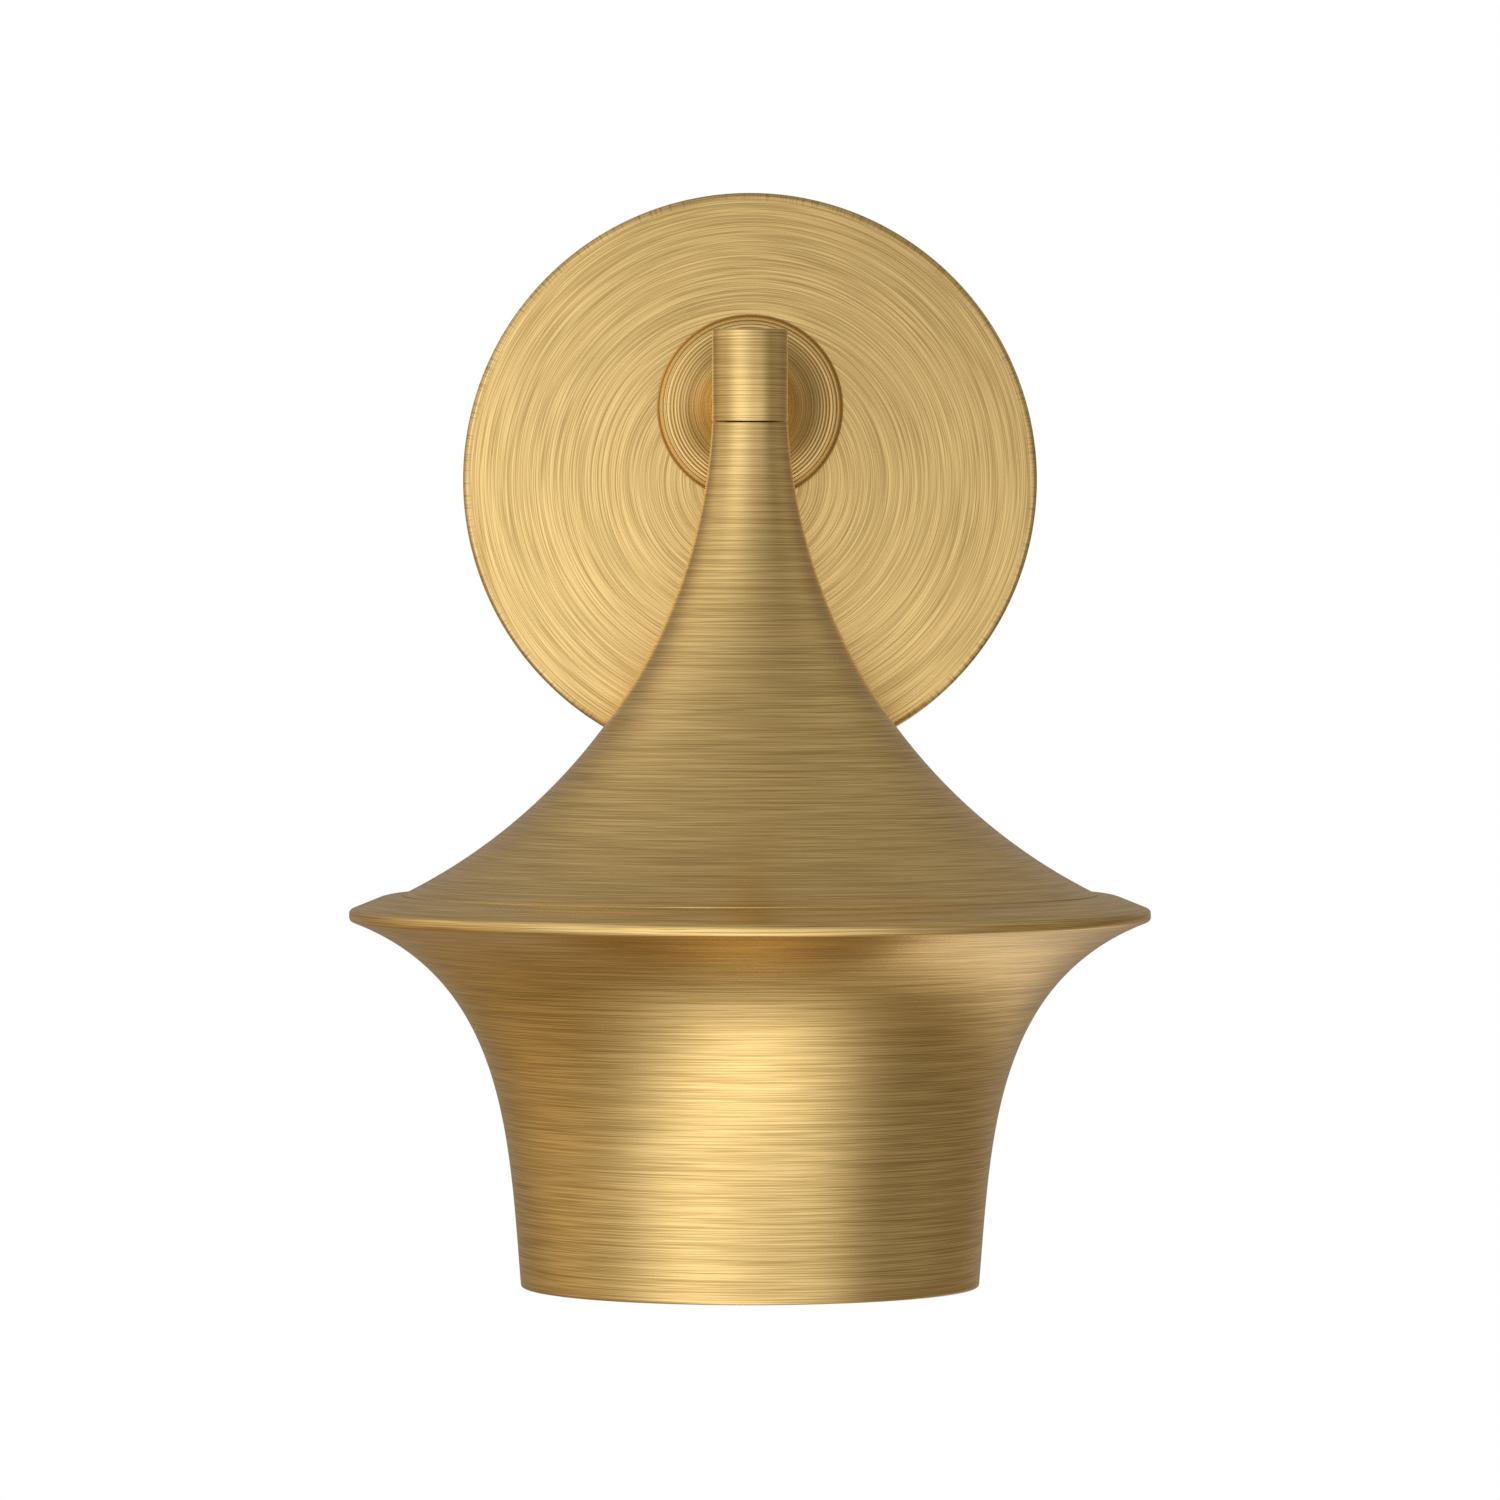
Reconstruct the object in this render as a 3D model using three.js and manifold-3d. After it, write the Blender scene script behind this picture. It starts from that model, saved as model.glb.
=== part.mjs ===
// A brass wall sconce. A spun shade, a tall concave roof over a flared cup, hangs from a short
// arm on a round backplate, and a screw-base lamp sits inside it.
//
// Millimetres, +Z up. The wall is the plane y = 0, the room is on its -Y side, and the origin is
// the centre of the mounting strap's back face, which is also the backplate's centre.

import * as THREE from "three";
import { mergeVertices } from "three/addons/utils/BufferGeometryUtils.js";
import Module from "manifold-3d";

const wasm = await Module();
wasm.setup();

// ---------------------------------------------------------------- driving dimensions

const gap = 0.3; // between pieces that touch, and round a screw or tube in its hole

// Backplate, a shallow spun pan that covers the outlet box
const plateRadius = 65;
const plateDepth = 22;
const plateWall = 1.5;
const plateEdgeRadius = 1.2;

// Mounting strap with two ears bent forward, and what holds the backplate to it
const strapThickness = 2;
const strapWidth = 22;
const strapBend = 3; // outside radius of each bend
const earDepth = 13; // from the wall to the ear's edge
const earInset = 8.8; // from the plate's inside wall to the ear
const slotWidth = 5;
const slotPitchLeast = 70; // between the screws of the smallest outlet box
const slotPitchMost = 88.9; // and of the largest
const earthScrewRadius = 2.4;
const earthScrewAcross = 8;
const earthScrewHead = 3;
const earthScrewOffset = 21;
const fixingScrewRadius = 2;
const fixingScrewDepth = 8.5; // its axis from the wall
const fixingScrewRecess = 0.4; // below the plate's side
const hexKeyAcross = 2;
const hexKeyDepth = 2.4;
const fixingNutRadius = 4.5;
const fixingNutLength = 5.6;

// Arm, a threaded brass tube, with the flared collar at its foot
const armRise = 16.4; // the arm's axis above the plate's centre
const projection = 104; // from the wall to the shade's axis
const armRadius = 4.75;
const armWall = 1.2;
const armTail = 2.6; // thread that stands past the lock nut inside the plate
const flareRadius = 21.1;
const flareLength = 36;
const flareEdgeRadius = 0.7;
const flareThroatWall = 1.2;
const flareFootAngle = 28; // degrees between the plate and the flare at its foot
const flareFootPull = 10;
const flareThroatPull = 20;

// Hub, the closed barrel at the arm's end
const hubHeight = 20;
const hubWall = 2.9;
const hubTop = 2;
const hubFoot = 5; // its lower face below the arm's axis
const hubChamfer = 0.3;

// Threaded tube that hangs the shade and the lampholder from the hub
const tubeRadius = 5;
const tubeWall = 1.1;
const wireWindowRadius = 3.2;
const nutThickness = 4;
const nutRim = 2; // from the thread to the nut's flats
const washerThickness = 1;
const bushLength = 13.5;

// Shade, heights measured down from the seam under the hub
const sheet = 1.2; // thickness of the spun brass
const roofDrop = 102.2; // seam to the roof's lower edge
const roofArcRadius = 120.3; // the roof's concave line is one arc
const roofFlangeWidth = 3.9; // the flange that the brim's fold is closed over
const roofFlangeRoom = 0.75; // between the fold and the flange
const brimWidth = 11.6; // from the roof's lower edge to the brim's edge
const brimRadius = 86.7;
const brimDrop = 106.9; // seam to the middle of the brim's edge
const hemGap = 0.45; // inside radius of the folded edge
const hemTopAngle = 22; // the brim's slope above its edge
const hemUnderAngle = 21.5; // and below it
const crestRadius = 8.3; // rounding between the brim's slope and its flat crest
const crestDrop = 102.35;
const mouthRadius = 49.6;
const shadeHeight = 187.1; // seam to the cup's lower edge
const cupBrimPull = 35.6; // how far the cup's curve keeps the brim's slope
const cupMouthPull = 31.4; // and how far it keeps the mouth's draft
const mouthDraft = 4.7;
const mouthEdge = 0.35; // chamfer of the cup's lower edge

// Lampholder for an E26 lamp
const shellRadius = 14.1;
const holderWellWall = 2.6; // porcelain around the screw shell
const holderClearance = 1.8; // to the roof, at the holder's shoulder
const capDome = 14;
const capTopRadius = 9.5;
const capWall = 1.5;
const capSkirt = 6;
const capCollar = 5.5; // length of the collar that takes the threaded tube
const capCollarRim = 2.6;
const holderLength = 44; // the part of the body below the cap
const holderNeck = 4.5; // the part inside the cap's skirt
const holderNeckWall = 2.4;
const holderRecess = 11; // terminal chamber above the floor
const holderFloor = 6;
const shellWall = 0.5;
const shellFlangeHole = 5.2;
const contactThickness = 0.5;
const contactWidth = 4;
const contactReach = 4.2;
const contactDrop = 2.8;
const terminalRoom = 2; // between a terminal screw's head and the chamber's wall
const terminalHeadRadius = 2.8;
const terminalHead = 2;
const terminalShank = 1.6;

// Bulb with a 60 mm globe, heights measured down from its end contact
const bulbLength = 104;
const globeRadius = 30;
const glassWall = 0.8;
const bulbCapRoom = 0.6; // between the cap and the screw shell
const bulbCapWall = 0.6;
const bulbCapStart = 6.9;
const bulbCapEnd = 27;
const bulbCapShoulder = 2.4;
const bulbContactRadius = 4.8;
const bulbContactHeight = 1.6;
const bulbInsulatorTop = 6;
const bulbCapShoulderRun = 2.4; // how far the cap narrows at its shoulder

// Leads and their connectors in the backplate
const leadRadius = 1;
const leadSpacing = 2.7;
const connectorPitch = 16;
const connectorMouthRadius = 6.2;
const connectorTipRadius = 4.2;
const connectorLength = 21;
const connectorBore = 2.6;
const connectorBoreDepth = 8;
const connectorTopDrop = 24; // mouths below the plate's centre
const tagThickness = 0.8;
const tagRim = 3;
const tagTongueWidth = 5;
const tagTongueLength = 12;

const SIDES_LARGE = 40;
const SIDES_SMALL = 20;
const SIDES_TINY = 12;
const SIDES_LEAD = 8;

// ---------------------------------------------------------------- sizes that follow from those

const plateInner = plateRadius - plateWall;
const plateFloor = plateDepth - plateWall; // the pan's inside face, from the wall
const earReach = plateInner - earInset; // the ear's outer face from the centre
const hubRadius = tubeRadius + gap + hubWall;
const tubeBore = tubeRadius - tubeWall;
const stemHole = tubeRadius + gap;
const seamHeight = armRise - hubFoot;
const roofFootRadius = brimRadius - brimWidth;
const holderRadius = shellRadius + gap + holderWellWall;
const chamberRadius = holderRadius - capWall - gap - holderNeckWall;
const terminalOffset = chamberRadius - terminalHeadRadius - terminalRoom;
const bulbCapRadius = shellRadius - shellWall - bulbCapRoom;
const bulbNeckRadius = bulbCapRadius + gap;
const bulbInsulatorFoot = bulbCapRadius - bulbCapShoulderRun;

// ---------------------------------------------------------------- outlines, as [radius, height]

const radians = THREE.MathUtils.degToRad;

function arc(centreR, centreH, radius, from, to, steps) {
  return Array.from({ length: steps + 1 }, (_, i) => {
    const a = radians(from + ((to - from) * i) / steps);
    return [centreR + radius * Math.cos(a), centreH + radius * Math.sin(a)];
  });
}

// Points along a cubic curve, each moved by shift to the curve's left.
function cubic(start, pullStart, pullEnd, end, steps, shift = 0) {
  const [p0, p1, p2, p3] = [start, pullStart, pullEnd, end].map(([r, h]) => new THREE.Vector2(r, h));
  const curve = new THREE.CubicBezierCurve(p0, p1, p2, p3);
  return Array.from({ length: steps + 1 }, (_, i) => {
    const p = curve.getPoint(i / steps);
    const t = curve.getTangent(i / steps);
    return [p.x - shift * t.y, p.y + shift * t.x];
  });
}

// The centre of the arc of that radius from p to q that bulges towards the axis.
function arcCentre(p, q, radius) {
  const chord = Math.hypot(q[0] - p[0], q[1] - p[1]);
  const along = [(q[0] - p[0]) / chord, (q[1] - p[1]) / chord];
  const rise = Math.sqrt(radius ** 2 - (chord / 2) ** 2);
  return [(p[0] + q[0]) / 2 - along[1] * rise, (p[1] + q[1]) / 2 + along[0] * rise];
}

const roofCentre = arcCentre([hubRadius, 0], [roofFootRadius, -roofDrop], roofArcRadius);

// Radius of the roof's arc at a height, for a surface that lies inset inside the roof's outer face.
function roofRadiusAt(height, inset) {
  return roofCentre[0] - Math.sqrt((roofArcRadius + inset) ** 2 - (height - roofCentre[1]) ** 2);
}

// The height at which the roof's inside is that wide.
function roofHeightWhere(radius) {
  return roofCentre[1] - Math.sqrt((roofArcRadius + sheet) ** 2 - (roofCentre[0] - radius) ** 2);
}

// A stretch of the roof's arc between two heights.
function roofArc(inset, fromHeight, toHeight, steps) {
  return Array.from({ length: steps + 1 }, (_, i) => {
    const h = fromHeight + ((toHeight - fromHeight) * i) / steps;
    return [roofRadiusAt(h, inset), h];
  });
}

// ---------------------------------------------------------------- solids

function toSolid(geometry) {
  const bare = new THREE.BufferGeometry();
  bare.setAttribute("position", geometry.getAttribute("position"));
  if (geometry.index) bare.setIndex(geometry.index);
  const merged = mergeVertices(bare, 1e-3);
  return new wasm.Manifold(
    new wasm.Mesh({
      numProp: 3,
      vertProperties: new Float32Array(merged.attributes.position.array),
      triVerts: new Uint32Array(merged.index.array),
    }),
  );
}

function toGeometry(solid) {
  const made = solid.getMesh();
  const geometry = new THREE.BufferGeometry();
  geometry.setAttribute("position", new THREE.BufferAttribute(made.vertProperties, 3));
  geometry.setIndex(new THREE.BufferAttribute(made.triVerts, 1));
  geometry.computeVertexNormals();
  return geometry;
}

function cut(geometry, ...tools) {
  return toGeometry(tools.reduce((left, tool) => left.subtract(toSolid(tool)), toSolid(geometry)));
}

function join(geometry, ...others) {
  return toGeometry(others.reduce((sum, other) => sum.add(toSolid(other)), toSolid(geometry)));
}

// A solid of revolution about local Z. The outline starts and ends on the axis or closes on itself.
function turned(outline, sides = SIDES_SMALL) {
  const points = outline.map(([r, h]) => new THREE.Vector2(r, h));
  if (THREE.ShapeUtils.area(points) < 0) points.reverse();
  const [first, last] = [points[0], points[points.length - 1]];
  if (first.x > 0 || last.x > 0) points.push(first.clone());
  return new THREE.LatheGeometry(points, sides).rotateX(Math.PI / 2);
}

function ringOutline(inner, outer, low, high) {
  return [
    [inner, low],
    [outer, low],
    [outer, high],
    [inner, high],
  ];
}

function discOutline(radius, low, high) {
  return ringOutline(0, radius, low, high);
}

// A cylinder between two heights on local Z.
function drill(radius, low, high, sides = SIDES_SMALL) {
  return turned(discOutline(radius, low, high), sides);
}

// A six-sided bar on local Z with a round hole, measured across its flats.
function hexNut(across, hole, low, high) {
  const corner = across / Math.sqrt(3);
  const body = turned(discOutline(corner, low, high), 6);
  return cut(body, drill(hole, low - 1, high + 1));
}

// A tube of round section along a smooth line through points.
function strand(points, radius, steps) {
  const corners = Array.from({ length: SIDES_LEAD }, (_, i) => {
    const a = (2 * Math.PI * i) / SIDES_LEAD;
    return new THREE.Vector2(radius * Math.cos(a), radius * Math.sin(a));
  });
  const section = new THREE.Shape(corners);
  const line = new THREE.CatmullRomCurve3(points.map((p) => new THREE.Vector3(...p)));
  return new THREE.ExtrudeGeometry(section, { steps, extrudePath: line, bevelEnabled: false });
}

// ---------------------------------------------------------------- materials

function metal(color, roughness) {
  return new THREE.MeshStandardMaterial({ color, roughness, metalness: 1 });
}

function plain(color, roughness) {
  return new THREE.MeshStandardMaterial({ color, roughness, metalness: 0 });
}

const brushedBrass = metal(0xc49a58, 0.35);
const rawBrass = metal(0xb8955a, 0.45);
const zincSteel = metal(0xb9bcc0, 0.4);
const nickel = metal(0xc9c6bf, 0.3);
const bronze = metal(0xb07a45, 0.4);
const greenSteel = metal(0x3f8a4d, 0.45);
const porcelain = plain(0xf0ede4, 0.25);
const opalGlass = plain(0xf6f3ea, 0.2);
const blackGlass = plain(0x17171a, 0.3);
const blackInsulation = plain(0x1d1d1f, 0.6);
const whiteInsulation = plain(0xe9e7e0, 0.6);
const greenInsulation = plain(0x2f8b45, 0.6);
const orangePlastic = plain(0xd9722a, 0.5);
const greenPlastic = plain(0x2e8f4c, 0.5);

function piece(name, geometry, material) {
  const mesh = new THREE.Mesh(geometry, material);
  mesh.name = name;
  return mesh;
}

// ---------------------------------------------------------------- groups

const sconce = new THREE.Group();

// In this group x is to the right, y is up and z is out from the wall.
const wall = new THREE.Group();
wall.rotation.x = Math.PI / 2;
sconce.add(wall);

// The arm's own axis is this group's z.
const arm = new THREE.Group();
arm.position.y = armRise;
wall.add(arm);

// The shade hangs about this group's z, from the seam at its origin.
const shade = new THREE.Group();
shade.position.set(0, -projection, seamHeight);
sconce.add(shade);

// ---------------------------------------------------------------- mounting strap

// A flat bar, bent forward at both ends, with an oblong slot each side for the outlet box's screws.
function strapGeometry() {
  const inner = earReach - strapThickness;
  const bendInside = strapBend - strapThickness;
  const section = new THREE.Shape();
  section.moveTo(-earReach, earDepth);
  section.lineTo(-earReach, strapBend);
  section.absarc(-earReach + strapBend, strapBend, strapBend, Math.PI, 1.5 * Math.PI, false);
  section.lineTo(earReach - strapBend, 0);
  section.absarc(earReach - strapBend, strapBend, strapBend, 1.5 * Math.PI, 2 * Math.PI, false);
  section.lineTo(earReach, earDepth);
  section.lineTo(inner, earDepth);
  section.lineTo(inner, strapBend);
  section.absarc(inner - bendInside, strapBend, bendInside, 0, 1.5 * Math.PI, true);
  section.lineTo(-inner + bendInside, strapThickness);
  section.absarc(-inner + bendInside, strapBend, bendInside, 1.5 * Math.PI, Math.PI, true);
  section.closePath();
  const bar = new THREE.ExtrudeGeometry(section, {
    depth: strapWidth,
    bevelEnabled: false,
    curveSegments: 4,
  });
  bar.translate(0, 0, -strapWidth / 2).rotateX(Math.PI / 2);
  const earthHole = drill(earthScrewRadius + gap, -1, strapThickness + 1, SIDES_TINY);
  earthHole.translate(-earthScrewOffset, 0, 0);
  return cut(bar, slotCutter(1), slotCutter(-1), earthHole);
}

// The oblong hole on one side of the strap, side 1 on the right and -1 on the left.
function slotCutter(side) {
  const half = slotWidth / 2;
  const oblong = new THREE.Shape();
  oblong.absarc(slotPitchLeast / 2, 0, half, 0.5 * Math.PI, 1.5 * Math.PI, false);
  oblong.absarc(slotPitchMost / 2, 0, half, -0.5 * Math.PI, 0.5 * Math.PI, false);
  oblong.closePath();
  const tool = new THREE.ExtrudeGeometry(oblong, {
    depth: strapThickness + 2,
    bevelEnabled: false,
    curveSegments: 6,
  });
  return tool.translate(0, 0, -1).rotateZ(side > 0 ? 0 : Math.PI);
}

// Hexagon head on a shank that ends level with the strap's back.
function earthScrewGeometry() {
  const headBottom = strapThickness + gap;
  const corner = earthScrewAcross / Math.sqrt(3);
  const head = turned(discOutline(corner, headBottom, headBottom + earthScrewHead), 6);
  const screw = join(head, drill(earthScrewRadius, gap, headBottom + 1, SIDES_TINY));
  return screw.translate(-earthScrewOffset, 0, 0);
}

wall.add(piece("mounting_strap", strapGeometry(), zincSteel));
wall.add(piece("earth_screw", earthScrewGeometry(), greenSteel));

// ---------------------------------------------------------------- backplate and its fixing screws

function backplateGeometry() {
  const edge = plateEdgeRadius;
  const corner = arc(plateRadius - edge, plateDepth - edge, edge, 0, 90, 3);
  const pan = turned(
    [
      [0, plateFloor],
      [plateInner - gap, plateFloor],
      [plateInner, plateFloor - gap],
      [plateInner, 0],
      [plateRadius, 0],
      ...corner,
      [0, plateDepth],
    ],
    SIDES_LARGE,
  );
  const armHole = drill(armRadius + gap, plateFloor - 1, plateDepth + 1);
  armHole.translate(0, armRise, 0);
  const screwHole = drill(fixingScrewRadius + gap, -plateRadius - 1, plateRadius + 1, SIDES_TINY);
  screwHole.rotateY(Math.PI / 2).translate(0, 0, fixingScrewDepth);
  return cut(pan, armHole, screwHole);
}

// Turns a piece made along z to point sideways at the fixing screws' height.
function sideways(geometry, side) {
  return geometry.rotateY((side * Math.PI) / 2).translate(0, 0, fixingScrewDepth);
}

// A round weld nut inside the pan's wall.
function fixingNutGeometry(side) {
  const facet = Math.cos(Math.PI / SIDES_LARGE);
  const end = Math.sqrt((plateInner * facet) ** 2 - fixingNutRadius ** 2) - gap;
  const hole = fixingScrewRadius + gap;
  const ring = ringOutline(hole, fixingNutRadius, end - fixingNutLength, end);
  return sideways(turned(ring, SIDES_SMALL), side);
}

// A headless screw with a hexagon socket, its tip against the strap's ear.
function fixingScrewGeometry(side) {
  const tip = earReach + gap;
  const end = plateRadius - fixingScrewRecess;
  const shank = drill(fixingScrewRadius, tip, end, SIDES_TINY);
  const socket = turned(discOutline(hexKeyAcross / Math.sqrt(3), end - hexKeyDepth, end + 1), 6);
  return sideways(cut(shank, socket), side);
}

wall.add(piece("backplate", backplateGeometry(), brushedBrass));
for (const [name, side] of [["left", -1], ["right", 1]]) {
  wall.add(piece(name + "_fixing_nut", fixingNutGeometry(side), zincSteel));
  wall.add(piece(name + "_fixing_screw", fixingScrewGeometry(side), rawBrass));
}

// ---------------------------------------------------------------- arm, its collar and its fasteners

const tagTop = plateFloor - gap;
const armWasherTop = tagTop - tagThickness - gap;
const armNutTop = armWasherTop - washerThickness - gap;
const armStart = armNutTop - nutThickness - armTail;
const armHoleRadius = armRadius + gap;
const armNutAcross = 2 * (armRadius + nutRim);

// The tube's front end is coped to the hub.
function armTubeGeometry() {
  const tube = turned(ringOutline(armRadius - armWall, armRadius, armStart, projection));
  const cope = drill(hubRadius + gap, -hubHeight, hubHeight);
  cope.rotateX(Math.PI / 2).translate(0, 0, projection);
  return cut(tube, cope);
}

// A trumpet of spun brass that sits on the plate and narrows to the tube.
function flareGeometry() {
  const low = plateDepth + gap;
  const top = plateDepth + flareLength;
  const edge = flareEdgeRadius;
  const rim = arc(flareRadius - edge, low + edge, edge, -90, 90 - flareFootAngle, 3);
  const foot = rim[rim.length - 1];
  const slope = radians(flareFootAngle);
  const footPull = [
    foot[0] - flareFootPull * Math.cos(slope),
    foot[1] + flareFootPull * Math.sin(slope),
  ];
  const throat = [armHoleRadius + flareThroatWall, top];
  const throatPull = [throat[0], top - flareThroatPull];
  const steps = 7;
  const outside = cubic(foot, footPull, throatPull, throat, steps);
  const inside = cubic(foot, footPull, throatPull, throat, steps, flareThroatWall).reverse();
  const lip = [inside[inside.length - 1][0], low];
  return turned([lip, ...rim, ...outside.slice(1), ...inside], SIDES_SMALL);
}

// A ring with a tongue that points down to take the earth lead.
function earthTagGeometry() {
  const low = tagTop - tagThickness;
  const outer = armHoleRadius + tagRim;
  const tongue = new THREE.BoxGeometry(tagTongueWidth, outer + tagTongueLength, tagThickness);
  tongue.translate(0, -(outer + tagTongueLength) / 2, low + tagThickness / 2);
  const disc = join(turned(discOutline(outer, low, tagTop)), tongue);
  return cut(disc, drill(armHoleRadius, low - 1, tagTop + 1));
}

function armWasherGeometry() {
  const outer = armHoleRadius + tagRim;
  return turned(ringOutline(armHoleRadius, outer, armWasherTop - washerThickness, armWasherTop));
}

arm.add(piece("arm_tube", armTubeGeometry(), brushedBrass));
arm.add(piece("arm_flare", flareGeometry(), brushedBrass));
arm.add(piece("earth_tag", earthTagGeometry(), zincSteel));
arm.add(piece("arm_washer", armWasherGeometry(), zincSteel));
arm.add(piece("arm_nut", hexNut(armNutAcross, armHoleRadius, armNutTop - nutThickness, armNutTop), rawBrass));

// ---------------------------------------------------------------- hub and threaded tube

// A closed barrel, bored from below, with a hole at the back for the leads.
function hubGeometry() {
  const c = hubChamfer;
  const barrel = turned([
    [0, hubHeight - hubTop],
    [stemHole, hubHeight - hubTop],
    [stemHole, 0],
    [hubRadius, 0],
    [hubRadius, hubHeight - c],
    [hubRadius - c, hubHeight],
    [0, hubHeight],
  ]);
  return cut(barrel, rearWindow(armRadius - armWall));
}

// A cylinder from the shade's axis back towards the wall, at the arm's height.
function rearWindow(radius) {
  const tool = drill(radius, 0, hubRadius + 1, SIDES_TINY);
  return tool.rotateX(-Math.PI / 2).translate(0, 0, hubFoot);
}

// Heights in the shade's group, of what the threaded tube carries.
const roofTop = -gap;
const bushTop = roofTop - sheet - gap;
const neckWasherTop = bushTop - bushLength - gap;
const neckNutTop = neckWasherTop - washerThickness - gap;
const capShoulder = roofHeightWhere(holderRadius + holderClearance);
const capTop = capShoulder + capDome;
const stemEnd = capTop - capWall / 2;
const neckNutAcross = 2 * (tubeRadius + nutRim);

function stemGeometry() {
  const tube = turned(ringOutline(tubeBore, tubeRadius, stemEnd, hubHeight - hubTop - gap));
  return cut(tube, rearWindow(wireWindowRadius));
}

// A tapered plug that centres the roof's neck on the threaded tube.
function bushGeometry() {
  const steps = 3;
  const taper = roofArc(sheet + gap, bushTop, bushTop - bushLength, steps);
  return turned([[stemHole, bushTop], ...taper, [stemHole, bushTop - bushLength]]);
}

function neckWasherGeometry() {
  const low = neckWasherTop - washerThickness;
  const outer = roofRadiusAt(neckWasherTop, sheet + gap);
  return turned(ringOutline(stemHole, outer, low, neckWasherTop));
}

const neckNut = hexNut(neckNutAcross, stemHole, neckNutTop - nutThickness, neckNutTop);
shade.add(piece("hub", hubGeometry(), brushedBrass));
shade.add(piece("stem", stemGeometry(), rawBrass));
shade.add(piece("neck_bush", bushGeometry(), rawBrass));
shade.add(piece("neck_washer", neckWasherGeometry(), zincSteel));
shade.add(piece("neck_nut", neckNut, rawBrass));

// ---------------------------------------------------------------- shade

// A concave cone with a flat top under the hub, and a stepped flange at its foot.
function roofGeometry() {
  const steps = 8;
  const flangeTop = -crestDrop - sheet - roofFlangeRoom;
  const innerFoot = roofFootRadius - sheet;
  return turned(
    [
      [stemHole, roofTop],
      ...roofArc(0, roofTop, -roofDrop, steps),
      [roofFootRadius, flangeTop],
      [roofFootRadius + roofFlangeWidth, flangeTop],
      [roofFootRadius + roofFlangeWidth, flangeTop - sheet],
      [innerFoot, flangeTop - sheet],
      ...roofArc(sheet, roofHeightWhere(innerFoot), roofTop - sheet, steps),
      [stemHole, roofTop - sheet],
    ],
    SIDES_LARGE,
  );
}

// One face of the cup's sheet, set in from the outside by depth, from the crest to the mouth.
function cupFace(depth) {
  const edge = sheet + hemGap;
  const centreR = brimRadius - edge;
  const above = radians(90 - hemTopAngle);
  const below = radians(hemUnderAngle - 90);
  const slopeTop = [centreR + edge * Math.cos(above), -brimDrop + edge * Math.sin(above)];
  const crestFall = slopeTop[1] + crestDrop + crestRadius * (1 - Math.sin(above));
  const slopeRun = -crestFall / Math.tan(radians(hemTopAngle));
  const crestR = slopeTop[0] - slopeRun - crestRadius * Math.cos(above);
  const brim = [centreR + edge * Math.cos(below), -brimDrop + edge * Math.sin(below)];
  const brimPull = [
    brim[0] + cupBrimPull * Math.sin(below),
    brim[1] - cupBrimPull * Math.cos(below),
  ];
  const mouth = [mouthRadius, -shadeHeight];
  const draft = radians(mouthDraft);
  const mouthPull = [
    mouth[0] + cupMouthPull * Math.sin(draft),
    mouth[1] + cupMouthPull * Math.cos(draft),
  ];
  const crest = [crestR, -crestDrop - crestRadius];
  return [
    [roofFootRadius + gap, -crestDrop - depth],
    ...arc(...crest, crestRadius - depth, 90, 90 - hemTopAngle, 2),
    ...arc(centreR, -brimDrop, edge - depth, 90 - hemTopAngle, hemUnderAngle - 90, 4),
    ...cubic(brim, brimPull, mouthPull, mouth, 8, -depth).slice(1),
  ];
}

// A flared cup whose upper edge is folded back over the roof's flange.
function cupGeometry() {
  const outside = cupFace(0);
  const inside = cupFace(sheet).reverse();
  const [outR, low] = outside.pop();
  const inR = inside.shift()[0];
  const edge = [
    [outR, low + mouthEdge],
    [outR - mouthEdge, low],
    [inR + mouthEdge, low],
    [inR, low + mouthEdge],
  ];
  return turned([...outside, ...edge, ...inside], SIDES_LARGE);
}

shade.add(piece("roof", roofGeometry(), brushedBrass));
shade.add(piece("cup", cupGeometry(), brushedBrass));

// ---------------------------------------------------------------- lampholder

const skirtEnd = capShoulder - capSkirt;
const bodyTop = skirtEnd - gap;
const bodyNeckTop = skirtEnd + holderNeck;
const bodyEnd = bodyTop - holderLength;
const floorTop = bodyTop - holderRecess;
const floorBottom = floorTop - holderFloor;
const shellTop = floorBottom - gap;

// A collar for the threaded tube on a cone that widens to a skirt.
function holderCapGeometry() {
  const collar = stemHole + capCollarRim;
  return turned([
    [stemHole, capTop + capCollar],
    [collar, capTop + capCollar],
    [collar, capTop],
    [capTopRadius, capTop],
    [holderRadius, capShoulder],
    [holderRadius, skirtEnd],
    [holderRadius - capWall, skirtEnd],
    [holderRadius - capWall, capShoulder - capWall / 2],
    [capTopRadius - capWall / 2, capTop - capWall],
    [stemHole, capTop - capWall],
  ]);
}

// A porcelain barrel: a terminal chamber above its floor and the screw shell's well below.
function holderBodyGeometry() {
  const well = shellRadius + gap;
  const neck = holderRadius - capWall - gap;
  const barrel = turned([
    [0, floorTop],
    [chamberRadius, floorTop],
    [chamberRadius, bodyNeckTop],
    [neck, bodyNeckTop],
    [neck, bodyTop],
    [holderRadius, bodyTop],
    [holderRadius, bodyEnd],
    [well, bodyEnd],
    [well, floorBottom],
    [0, floorBottom],
  ]);
  const holes = [-1, 1].map((side) => {
    const hole = drill(terminalShank + gap, floorBottom - 1, floorTop + 1, SIDES_TINY);
    return hole.translate(side * terminalOffset, 0, 0);
  });
  return cut(barrel, ...holes);
}

function screwShellGeometry() {
  return turned([
    [shellFlangeHole, shellTop],
    [shellRadius, shellTop],
    [shellRadius, bodyEnd + gap],
    [shellRadius - shellWall, bodyEnd + gap],
    [shellRadius - shellWall, shellTop - shellWall],
    [shellFlangeHole, shellTop - shellWall],
  ]);
}

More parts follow.
